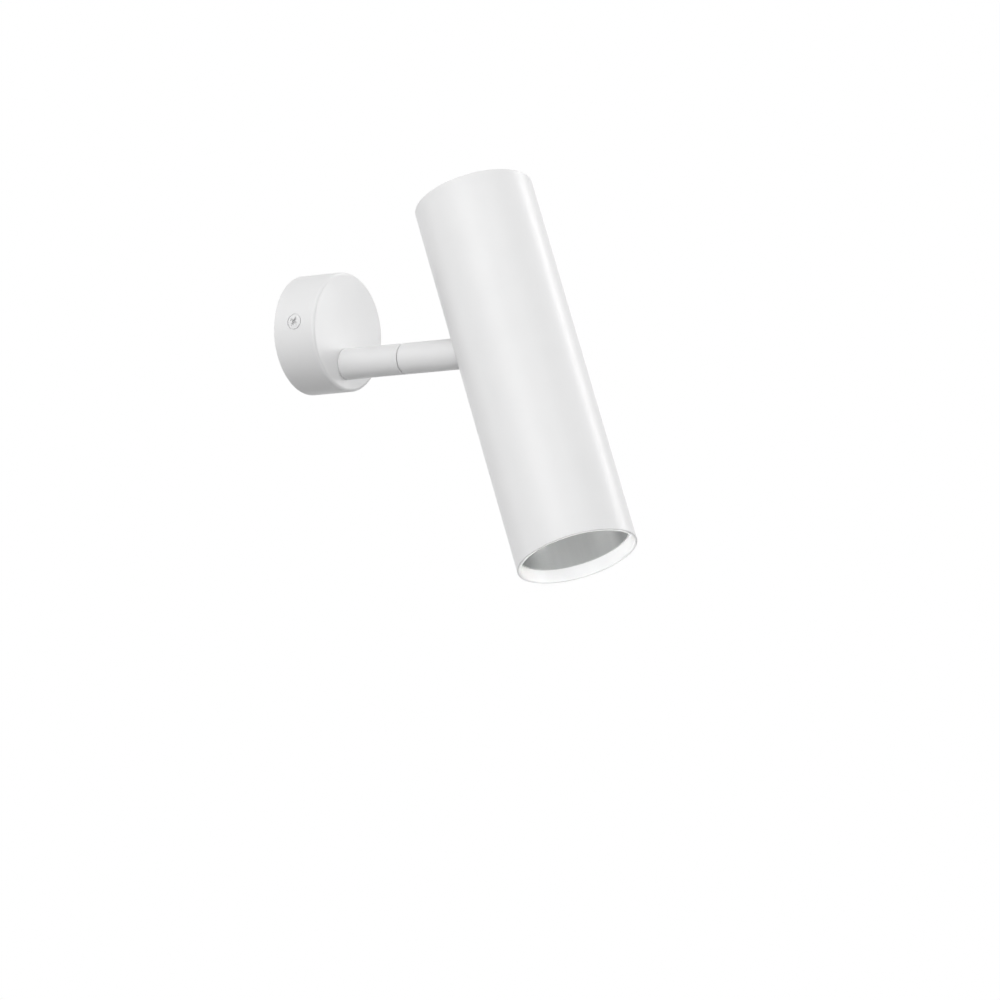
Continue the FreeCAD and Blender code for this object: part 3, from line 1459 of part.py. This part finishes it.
def make_arm_leads():
    """From the swivel, out to the tongue's two channels, and just past its collar."""
    start = dim.joint_reach + dim.joint_gap
    tongue = arm_front() - dim.plug_depth
    solids = []
    for side in (-1, 1):
        inner = side * dim.lead_half_spacing
        outer = side * dim.lead_side_offset
        solids.append(lead([
            point(inner, -start, 0),
            point(inner, -start - dim.lead_run, 0),
            point(outer, dim.lead_run - tongue, 0),
            point(outer, dim.tilt_reach - dim.pivot_distance, 0),
        ], dim.gentle_bend))
    add_leads("arm_leads", solids, place_on_arm)


def make_head_leads():
    """Out of the holder, up through the plate and round behind the tilt bolt."""
    solids = []
    behind = dim.tilt_reach - dim.lead_radius
    for side in (-1, 1):
        across = side * dim.lead_head_offset
        solids.append(lead([
            point(across, 0, plate_bottom() - dim.small_bend),
            point(across, 0, dim.lead_rise - dim.plate_drop),
            point(across, behind, -dim.knuckle_radius),
            point(across, behind, dim.lead_radius),
        ], dim.small_bend))
    add_leads("head_leads", solids, place_in_tube)


for make in [
    make_canopy, make_canopy_screws, make_wall_bracket, make_terminal_block,
    make_terminal_sleeves, make_terminal_screws, make_block_screws, make_earth_tag,
    make_earth_screw, make_arm_base, make_stem_washer, make_stem_nut, make_stem_bushing,
    make_swivel_bolt, make_swivel_ring, make_stop_pin, make_rose_leads, make_earth_lead,
    make_arm_outer, make_spring_washer, make_pivot_tongue, make_arm_set_screw, make_arm_leads,
    make_head_tube, make_top_cap, make_head_bracket, make_bracket_screws, make_pivot_bolt,
    make_pivot_nut, make_friction_washers, make_lamp_holder, make_holder_screws,
    make_lamp_body, make_lamp_lens, make_lamp_pins, make_mouth_ring, make_reflector_sleeve,
    make_head_leads,
]:
    make()

doc.recompute()

for item in doc.Objects:
    if "Invalid" in item.State or "Error" in item.State:
        raise RuntimeError(f"{item.Name} failed: {item.State}")
for item in subparts:
    if item.Shape.isNull() or not item.Shape.isValid():
        raise RuntimeError(f"{item.Label} has no valid shape")

os.makedirs("parts", exist_ok=True)
for item in subparts:
    item.Shape.exportStep(f"parts/{item.Label}.step")
    print(item.Label, len(item.Shape.Solids), "solids", round(item.Shape.Volume, 1), "mm3")
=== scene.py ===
import json
import math

import bpy
from mathutils import Matrix, Vector


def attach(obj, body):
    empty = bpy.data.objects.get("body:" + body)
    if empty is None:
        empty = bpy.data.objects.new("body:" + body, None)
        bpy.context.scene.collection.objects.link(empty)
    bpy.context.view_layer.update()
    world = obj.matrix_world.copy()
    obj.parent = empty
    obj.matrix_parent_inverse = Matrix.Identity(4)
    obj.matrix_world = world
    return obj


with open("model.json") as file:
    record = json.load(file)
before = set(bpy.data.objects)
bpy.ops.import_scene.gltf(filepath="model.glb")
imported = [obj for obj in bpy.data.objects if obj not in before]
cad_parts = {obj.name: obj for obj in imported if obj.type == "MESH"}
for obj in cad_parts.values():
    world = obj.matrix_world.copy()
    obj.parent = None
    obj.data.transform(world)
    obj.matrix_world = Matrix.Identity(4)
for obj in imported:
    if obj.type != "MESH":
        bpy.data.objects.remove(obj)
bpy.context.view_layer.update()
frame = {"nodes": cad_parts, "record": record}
nodes = frame["nodes"]

# The wall spotlight's main places, in metres, in the frame of the solids: the wall is
# Y = 0, the lamp stands out towards -Y, and Z is up.
ARM_HEIGHT = -0.0165
PIVOT = Vector((0, -0.126, ARM_HEIGHT))
TILT = math.radians(21)
TUBE_DOWN = Vector((0, -math.sin(TILT), -math.cos(TILT)))
TUBE_FRAME = Matrix.Translation(PIVOT) @ Matrix.Rotation(-TILT, 4, "X")

# The camera stands to the left of the lamp and a little below it.
CAMERA_AZIMUTH = math.radians(-56.09)
CAMERA_ELEVATION = math.radians(-10.64)
CAMERA_ROLL = math.radians(2.737)
CAMERA_DISTANCE = 2.7878
CAMERA_LENS = 202.8
CAMERA_SENSOR = 36.0
CAMERA_AIM = Vector((0.0338, -0.0975, -0.0841))

camera_back = Vector((
    math.sin(CAMERA_AZIMUTH) * math.cos(CAMERA_ELEVATION),
    -math.cos(CAMERA_AZIMUTH) * math.cos(CAMERA_ELEVATION),
    math.sin(CAMERA_ELEVATION),
))


def make_camera():
    level_right = Vector((math.cos(CAMERA_AZIMUTH), math.sin(CAMERA_AZIMUTH), 0))
    level_up = camera_back.cross(level_right)
    right = level_right * math.cos(CAMERA_ROLL) + level_up * math.sin(CAMERA_ROLL)
    up = level_up * math.cos(CAMERA_ROLL) - level_right * math.sin(CAMERA_ROLL)
    data = bpy.data.cameras.new("camera")
    data.lens = CAMERA_LENS
    data.sensor_width = CAMERA_SENSOR
    data.clip_start = 0.01
    data.clip_end = 60
    camera = bpy.data.objects.new("camera", data)
    turned = Matrix((right, up, camera_back)).transposed().to_4x4()
    camera.matrix_world = Matrix.Translation(CAMERA_AIM + camera_back * CAMERA_DISTANCE) @ turned
    bpy.context.scene.collection.objects.link(camera)
    bpy.context.scene.camera = camera


# Lights. The tube shows a long highlight where it mirrors a lamp, so each lamp stands where
# the tube mirrors it: turned about the tube's axis from the camera's side.

LIGHT_TARGET = Vector((0, -0.11, -0.03))
LIGHT_DISTANCE = 2.0


def mirrored_direction(turn):
    """Where a lamp stands that the tube's wall mirrors to the camera, if the wall faces turn / 2
    to the right of it."""
    along = camera_back.dot(TUBE_DOWN)
    across = camera_back - TUBE_DOWN * along
    side = across.cross(TUBE_DOWN)
    return across * math.cos(turn) + side * math.sin(turn) - TUBE_DOWN * along


def area_light(name, direction, width, height, power, distance=LIGHT_DISTANCE):
    data = bpy.data.lights.new(name, "AREA")
    data.shape = "RECTANGLE"
    data.size = width
    data.size_y = height
    data.energy = power
    light = bpy.data.objects.new(name, data)
    out = direction.normalized()
    tall = -TUBE_DOWN - out * out.dot(-TUBE_DOWN)
    tall = tall.normalized() if tall.length > 0.01 else out.orthogonal().normalized()
    turned = Matrix((tall.cross(out), tall, out)).transposed().to_4x4()
    light.matrix_world = Matrix.Translation(LIGHT_TARGET + out * distance) @ turned
    bpy.context.scene.collection.objects.link(light)
    return light


# Each tall lamp: its name, the turn in degrees, its width and height in metres, and its power.
TALL_LAMPS = (
    ("edge_light", -90, 0.8, 2.2, 5.0),
    ("left_light", -55, 0.8, 2.2, 2.4),
    ("key_light", -20, 1.1, 2.2, 14.0),
    ("right_light", 36, 0.8, 2.2, 3.5),
    ("strip_light", 112, 0.55, 2.4, 18.1),
)

# Each square lamp: its name, the direction to it, its side and distance in metres, and its power.
SQUARE_LAMPS = (
    ("high_light", Vector((-0.75, -0.45, 0.6)), 1.2, LIGHT_DISTANCE, 3.0),
    ("fill_light", Vector((-0.25, -0.9, 0.1)), 1.0, LIGHT_DISTANCE, 3.3),
    ("top_light", Vector((-0.2, -0.3, 1)), 1.6, LIGHT_DISTANCE, 3.9),
    ("front_light", camera_back + Vector((0, 0, 0.15)), 1.2, 3.3, 12.3),
)

# Three narrow beams shine up into the tube's mouth: two from the sides, for the bore of the white
# ring, and one along the tube, for its end. Each has the outline that the mouth shows from where it
# stands, so that nearly nothing of them falls on the tube outside.
MOUTH_CENTRE = PIVOT + TUBE_DOWN * 0.1135
BEAM_SPREAD = math.radians(1)
SIDE_BEAM_RADIUS = 0.0290
SIDE_BEAM_RISE = math.radians(22)
SIDE_BEAM_DISTANCE = 0.045
SIDE_BEAMS = (
    ("mouth_beam_left", math.radians(-66), 0.002014),
    ("mouth_beam_right", math.radians(66), 0.001311),
)
END_BEAM_RADIUS = 0.0297
END_BEAM_DISTANCE = 0.03
END_BEAM_POWER = 0.0029


def mouth_beam(name, out, width, height, power, distance):
    beam = area_light(name, out, width, height, power)
    beam.data.shape = "ELLIPSE"
    beam.data.spread = BEAM_SPREAD
    beam.matrix_world.translation = MOUTH_CENTRE + out * distance
    beam.visible_camera = False
    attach(beam, "head")


def side_beam(name, turn, power):
    """A beam that comes from the camera's side of the tube, turned about the tube's axis."""
    toward = (camera_back - TUBE_DOWN * camera_back.dot(TUBE_DOWN)).normalized()
    toward = toward * math.cos(turn) + toward.cross(TUBE_DOWN) * math.sin(turn)
    out = toward * math.cos(SIDE_BEAM_RISE) + TUBE_DOWN * math.sin(SIDE_BEAM_RISE)
    width = 2 * SIDE_BEAM_RADIUS
    mouth_beam(name, out, width, width * math.sin(SIDE_BEAM_RISE), power, SIDE_BEAM_DISTANCE)


def make_lights():
    for name, turn, width, height, power in TALL_LAMPS:
        area_light(name, mirrored_direction(math.radians(turn)), width, height, power)
    for name, direction, side, distance, power in SQUARE_LAMPS:
        area_light(name, direction, side, side, power, distance)
    for name, turn, power in SIDE_BEAMS:
        side_beam(name, turn, power)
    mouth_beam("mouth_beam_end", TUBE_DOWN, 2 * END_BEAM_RADIUS, 2 * END_BEAM_RADIUS,
               END_BEAM_POWER, END_BEAM_DISTANCE)


# The world's tone at each rise, from straight down at -1 to straight up at 1.
WORLD_TONES = (
    (-1, 0.02), (-0.5, 0.04), (-0.2, 0.72), (0.05, 0.77), (0.3, 0.62), (0.6, 0.15), (1, 0.02),
)
WHITE = (1, 1, 1, 1)


def make_world():
    """Lights the lamp mostly from the sides, and shows white behind it."""
    world = bpy.data.worlds.new("studio")
    bpy.context.scene.world = world
    world.use_nodes = True
    tree = world.node_tree
    tree.nodes.clear()
    place = tree.nodes.new("ShaderNodeTexCoord")
    split = tree.nodes.new("ShaderNodeSeparateXYZ")
    height = tree.nodes.new("ShaderNodeMapRange")
    height.inputs["From Min"].default_value = -1
    ramp = tree.nodes.new("ShaderNodeValToRGB")
    stops = ramp.color_ramp.elements
    while len(stops) < len(WORLD_TONES):
        stops.new(0.5)
    for stop, (rise, tone) in zip(stops, WORLD_TONES):
        stop.position = (rise + 1) / 2
        stop.color = (tone, tone, tone, 1)
    glow = tree.nodes.new("ShaderNodeBackground")
    shown = tree.nodes.new("ShaderNodeBackground")
    shown.inputs["Color"].default_value = WHITE
    path = tree.nodes.new("ShaderNodeLightPath")
    seen = tree.nodes.new("ShaderNodeMath")
    seen.operation = "MAXIMUM"
    clear = tree.nodes.new("ShaderNodeMath")
    clear.operation = "MAXIMUM"
    mix = tree.nodes.new("ShaderNodeMixShader")
    output = tree.nodes.new("ShaderNodeOutputWorld")
    tree.links.new(place.outputs["Generated"], split.inputs[0])
    tree.links.new(split.outputs["Z"], height.inputs["Value"])
    tree.links.new(height.outputs[0], ramp.inputs[0])
    tree.links.new(ramp.outputs["Color"], glow.inputs["Color"])
    tree.links.new(path.outputs["Is Camera Ray"], seen.inputs[0])
    tree.links.new(path.outputs["Is Glossy Ray"], seen.inputs[1])
    tree.links.new(seen.outputs[0], clear.inputs[0])
    tree.links.new(path.outputs["Is Transmission Ray"], clear.inputs[1])
    tree.links.new(clear.outputs[0], mix.inputs[0])
    tree.links.new(glow.outputs[0], mix.inputs[1])
    tree.links.new(shown.outputs[0], mix.inputs[2])
    tree.links.new(mix.outputs[0], output.inputs["Surface"])


FLOOR_CENTRE = (0, -0.1, -1.2)
FLOOR_SIZE = 1.4


def make_floor():
    bpy.ops.mesh.primitive_plane_add(size=FLOOR_SIZE, location=FLOOR_CENTRE)
    floor = bpy.context.object
    floor.name = "floor"
    shader = Shader("floor_pale")
    shader.set(Roughness=0.7)
    shader.colour_noise((0.80, 0.80, 0.80), (0.84, 0.84, 0.84), scale=3)
    floor.data.materials.append(shader.material)


class Shader:
    """A material being built on one Principled shader, in object coordinates."""

    def __init__(self, name):
        self.material = bpy.data.materials.new(name)
        self.material.use_nodes = True
        self.tree = self.material.node_tree
        self.surface = self.tree.nodes["Principled BSDF"]
        self.place = self.add("ShaderNodeTexCoord").outputs["Object"]

    def add(self, kind, **values):
        node = self.tree.nodes.new(kind)
        for name, value in values.items():
            node.inputs[name].default_value = value
        return node

    def link(self, start, end):
        self.tree.links.new(start, end)

    def set(self, **values):
        for name, value in values.items():
            self.surface.inputs[name.replace("_", " ")].default_value = value

    def noise(self, scale, detail=2.0, place=None):
        node = self.add("ShaderNodeTexNoise", Scale=scale, Detail=detail)
        self.link(place or self.place, node.inputs["Vector"])
        return node.outputs["Fac"]

    def along_tube(self, stretch):
        """Coordinates whose Z runs along the tube's axis, scaled there by stretch."""
        place, rotation, _ = TUBE_FRAME.inverted().decompose()
        turn = self.add("ShaderNodeMapping", Location=place, Rotation=rotation.to_euler())
        self.link(self.place, turn.inputs["Vector"])
        squeeze = self.add("ShaderNodeMapping", Scale=(1, 1, stretch))
        self.link(turn.outputs[0], squeeze.inputs["Vector"])
        return squeeze.outputs[0]

    def facing_out(self):
        """1 where a surface faces the way the tube's mouth does, else 0."""
        facing = self.add("ShaderNodeVectorMath")
        facing.operation = "DOT_PRODUCT"
        facing.inputs[1].default_value = TUBE_DOWN
        self.link(self.add("ShaderNodeTexCoord").outputs["Normal"], facing.inputs[0])
        return self.spread(facing.outputs["Value"], 0, 1, start=0.85, end=0.95)

    def spread(self, value, low, high, start=0.3, end=0.7):
        """Map a value from start..end onto low..high."""
        node = self.add("ShaderNodeMapRange")
        for name, number in zip(("From Min", "From Max", "To Min", "To Max"), (start, end, low, high)):
            node.inputs[name].default_value = number
        self.link(value, node.inputs["Value"])
        return node.outputs[0]

    def blend(self, factor, low, high):
        node = self.tree.nodes.new("ShaderNodeMix")
        node.data_type = "RGBA"
        node.inputs["A"].default_value = (*low, 1)
        node.inputs["B"].default_value = (*high, 1)
        self.link(factor, node.inputs["Factor"])
        return node.outputs["Result"]

    def colour_noise(self, low, high, scale, detail=2.0):
        factor = self.spread(self.noise(scale, detail), 0, 1)
        self.link(self.blend(factor, low, high), self.surface.inputs["Base Color"])

    def rough_noise(self, low, high, scale):
        self.link(self.spread(self.noise(scale), low, high), self.surface.inputs["Roughness"])

    def bump(self, height, distance, strength=1.0):
        node = self.add("ShaderNodeBump", Distance=distance, Strength=strength)
        self.link(height, node.inputs["Height"])
        self.link(node.outputs["Normal"], self.surface.inputs["Normal"])


def white_paint():
    """Powder coat: nearly even, with a very fine orange peel."""
    shader = Shader("white_paint")
    shader.colour_noise((0.795, 0.795, 0.797), (0.815, 0.815, 0.817), scale=35)
    shader.rough_noise(0.30, 0.38, scale=300)
    shader.bump(shader.noise(1300, detail=1.0), distance=0.00002, strength=0.5)
    return shader.material


def metal(name, low, high, rough_low, rough_high, grain):
    """Bare or plated metal with a fine grain."""
    shader = Shader(name)
    shader.set(Metallic=1.0)
    shader.colour_noise(low, high, scale=grain, detail=4)
    shader.rough_noise(rough_low, rough_high, scale=grain * 3)
    return shader.material


CUT_EDGE_METALLIC = 0.3


def satin_sleeve():
    """Drawn aluminium: soft streaks along the tube, over a fine grain that runs round it. Its cut
    edge at the mouth is matt."""
    shader = Shader("satin_aluminium")
    streaks = shader.noise(170, detail=3.0, place=shader.along_tube(0.03))
    grain = shader.noise(900, detail=1.0, place=shader.along_tube(4))
    tone = shader.add("ShaderNodeMath")
    shader.link(streaks, tone.inputs[0])
    shader.link(shader.spread(grain, -0.06, 0.06), tone.inputs[1])
    factor = shader.spread(tone.outputs[0], 0, 1)
    colour = shader.blend(factor, (0.61, 0.617, 0.617), (0.665, 0.67, 0.67))
    shader.link(colour, shader.surface.inputs["Base Color"])
    shader.link(shader.spread(shader.facing_out(), 1, CUT_EDGE_METALLIC, start=0, end=1),
                shader.surface.inputs["Metallic"])
    shader.link(shader.spread(streaks, 0.38, 0.46), shader.surface.inputs["Roughness"])
    return shader.material


def plastic(name, low, high, rough_low, rough_high):
    """Moulded plastic, rubber or ceramic: nearly even, with a very fine texture."""
    shader = Shader(name)
    shader.colour_noise(low, high, scale=80)
    shader.rough_noise(rough_low, rough_high, scale=500)
    shader.bump(shader.noise(2500), distance=0.00001)
    return shader.material


def earth_insulation():
    """Green and yellow stripes that run along the lead."""
    shader = Shader("earth_insulation")
    facing = shader.add("ShaderNodeSeparateXYZ")
    shader.link(shader.add("ShaderNodeTexCoord").outputs["Normal"], facing.inputs[0])
    wobble = shader.add("ShaderNodeMath")
    shader.link(facing.outputs["X"], wobble.inputs[0])
    shader.link(shader.spread(shader.noise(400), -0.05, 0.05), wobble.inputs[1])
    stripe = shader.spread(wobble.outputs[0], 0, 1, start=-0.02, end=0.02)
    colour = shader.blend(stripe, (0.08, 0.36, 0.07), (0.82, 0.70, 0.05))
    shader.link(colour, shader.surface.inputs["Base Color"])
    shader.rough_noise(0.42, 0.55, scale=600)
    return shader.material


MATERIALS = {
    "white_paint": white_paint(),
    "ring_white": plastic("ring_white", (0.90, 0.90, 0.90), (0.93, 0.93, 0.93), 0.62, 0.72),
    "white_screw": white_paint(),
    "zinc_steel": metal("zinc_steel", (0.55, 0.57, 0.60), (0.68, 0.70, 0.72), 0.25, 0.40, 220),
    "black_steel": metal("black_steel", (0.05, 0.05, 0.055), (0.08, 0.08, 0.085), 0.35, 0.5, 400),
    "satin_aluminium": satin_sleeve(),
    "brass": metal("brass", (0.72, 0.55, 0.27), (0.82, 0.66, 0.36), 0.22, 0.34, 260),
    "pin_metal": metal("pin_metal", (0.70, 0.69, 0.67), (0.80, 0.79, 0.77), 0.15, 0.25, 300),
    "block_plastic": plastic("block_plastic", (0.86, 0.85, 0.81), (0.90, 0.89, 0.85), 0.45, 0.6),
    "nylon": plastic("nylon", (0.82, 0.81, 0.77), (0.88, 0.87, 0.83), 0.4, 0.55),
    "ceramic": plastic("ceramic", (0.82, 0.81, 0.77), (0.90, 0.89, 0.85), 0.6, 0.8),
    "lamp_housing": plastic("lamp_housing", (0.80, 0.80, 0.79), (0.88, 0.88, 0.87), 0.35, 0.45),
    "lamp_lens": plastic("lamp_lens", (0.86, 0.86, 0.84), (0.92, 0.92, 0.90), 0.15, 0.25),
    "lead_insulation": plastic("lead_insulation", (0.68, 0.67, 0.64), (0.76, 0.75, 0.72), 0.5, 0.65),
    "earth_insulation": earth_insulation(),
}

for part in frame["record"]["subparts"]:
    node = nodes[part["node"]]
    node.data.materials.clear()
    node.data.materials.append(MATERIALS[part["material_slot"]])


# Pieces of this script, with the forms that the solids leave out.

def new_piece(name, body, points, faces, material):
    mesh = bpy.data.meshes.new(name)
    mesh.from_pydata(points, [], faces)
    mesh.polygons.foreach_set("use_smooth", [True] * len(faces))
    mesh.materials.append(material)
    piece = bpy.data.objects.new(name, mesh)
    bpy.context.scene.collection.objects.link(piece)
    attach(piece, body)
    return piece


# The lamp's front, in the tube's frame, whose Z runs up the tube from the tilt axis.
LENS_BOTTOM = -0.0894
LENS_RISE = 0.0009
LENS_RADIUS = 0.0234
LENS_LIP = 0.0012
LENSLET_PITCH = 0.0032
LENSLET_RISE = 0.00035
LENS_EDGE_SINK = LENSLET_RISE / 4
LENS_RINGS = 56
LENS_SPOKES = 216


def lenslet(x, y):
    """How far the field of lenslets stands up at a point: 1 in a lenslet's middle, 0 in a corner."""
    row = LENSLET_PITCH * math.sqrt(3)
    nearest = LENSLET_PITCH
    for shift in (0, 0.5):
        dx = (x / LENSLET_PITCH + shift + 0.5) % 1 - 0.5
        dy = (y / row + shift + 0.5) % 1 - 0.5
        nearest = min(nearest, math.hypot(dx * LENSLET_PITCH, dy * row))
    return 1 - 3 * (nearest / LENSLET_PITCH) ** 2


def make_lens_pattern():
    """The lamp's front: round lenslets, packed like a honeycomb on the lens's shallow dome."""
    dome = (LENS_RADIUS ** 2 + LENS_RISE ** 2) / (2 * LENS_RISE)
    reach = LENS_RADIUS - LENS_LIP
    points = []
    for ring in range(LENS_RINGS + 1):
        radius = reach * ring / LENS_RINGS
        level = LENS_BOTTOM + dome - math.sqrt(dome ** 2 - radius ** 2)
        for spoke in range(LENS_SPOKES):
            angle = 2 * math.pi * spoke / LENS_SPOKES
            x = radius * math.cos(angle)
            y = radius * math.sin(angle)
            rise = LENSLET_RISE * lenslet(x, y) if ring < LENS_RINGS else -LENS_EDGE_SINK
            points.append(TUBE_FRAME @ Vector((x, y, level - rise)))
    faces = []
    for ring in range(LENS_RINGS):
        for spoke in range(LENS_SPOKES):
            after = (spoke + 1) % LENS_SPOKES
            inner = ring * LENS_SPOKES
            outer = inner + LENS_SPOKES
            faces.append((inner + spoke, inner + after, outer + after, outer + spoke))
    new_piece("lens_pattern", "head", points, faces, MATERIALS["lamp_lens"])


# A thread's ridge reaches out and in by its height, and along the shank by its foot, which is a
# share of the pitch.
THREAD_STEPS = 36
THREAD_HEIGHT = 0.00012
THREAD_FOOT = 0.45


def make_thread(name, body, start, along, radius, length, pitch):
    """A screw thread as one ridge that winds round a shank, from start along a direction."""
    side = along.orthogonal().normalized()
    other = along.cross(side)
    steps = int((length - pitch) / pitch * THREAD_STEPS)
    points = []
    faces = []
    for step in range(steps + 1):
        angle = 2 * math.pi * step / THREAD_STEPS
        out = side * math.cos(angle) + other * math.sin(angle)
        middle = start + along * pitch * (0.5 + step / THREAD_STEPS)
        points.append(middle + out * (radius - THREAD_HEIGHT) - along * pitch * THREAD_FOOT)
        points.append(middle + out * (radius + THREAD_HEIGHT))
        points.append(middle + out * (radius - THREAD_HEIGHT) + along * pitch * THREAD_FOOT)
        if step:
            base = 3 * step
            faces += [(base - 3, base - 2, base + 1, base), (base - 2, base - 1, base + 2, base + 1)]
    piece = new_piece(name, body, points, faces, MATERIALS["zinc_steel"])
    piece.data.polygons.foreach_set("use_smooth", [False] * len(faces))


# The threads run from the free end of each shank to the piece that hides the rest of it.
STEM_END = -0.0120
STEM_NUT = -0.0182
STEM_RADIUS = 0.0049
STEM_PITCH = 0.0010
SIDE_SCREW_DISTANCE = 0.0122
SIDE_SCREW_TIP = 0.0222
SIDE_SCREW_EAR = 0.0251
SIDE_SCREW_RADIUS = 0.0020
SIDE_SCREW_PITCH = 0.0007

make_lens_pattern()
make_thread("stem_thread", "rose", Vector((0, STEM_END, ARM_HEIGHT)), Vector((0, -1, 0)),
            STEM_RADIUS, STEM_END - STEM_NUT, STEM_PITCH)
for name, side in (("side_screw_thread_left", -1), ("side_screw_thread_right", 1)):
    tip = Vector((side * SIDE_SCREW_TIP, -SIDE_SCREW_DISTANCE, 0))
    make_thread(name, "rose", tip, Vector((side, 0, 0)),
                SIDE_SCREW_RADIUS, SIDE_SCREW_EAR - SIDE_SCREW_TIP, SIDE_SCREW_PITCH)

make_camera()
make_lights()
make_world()
make_floor()

view = bpy.context.scene.view_settings
view.view_transform = "Standard"
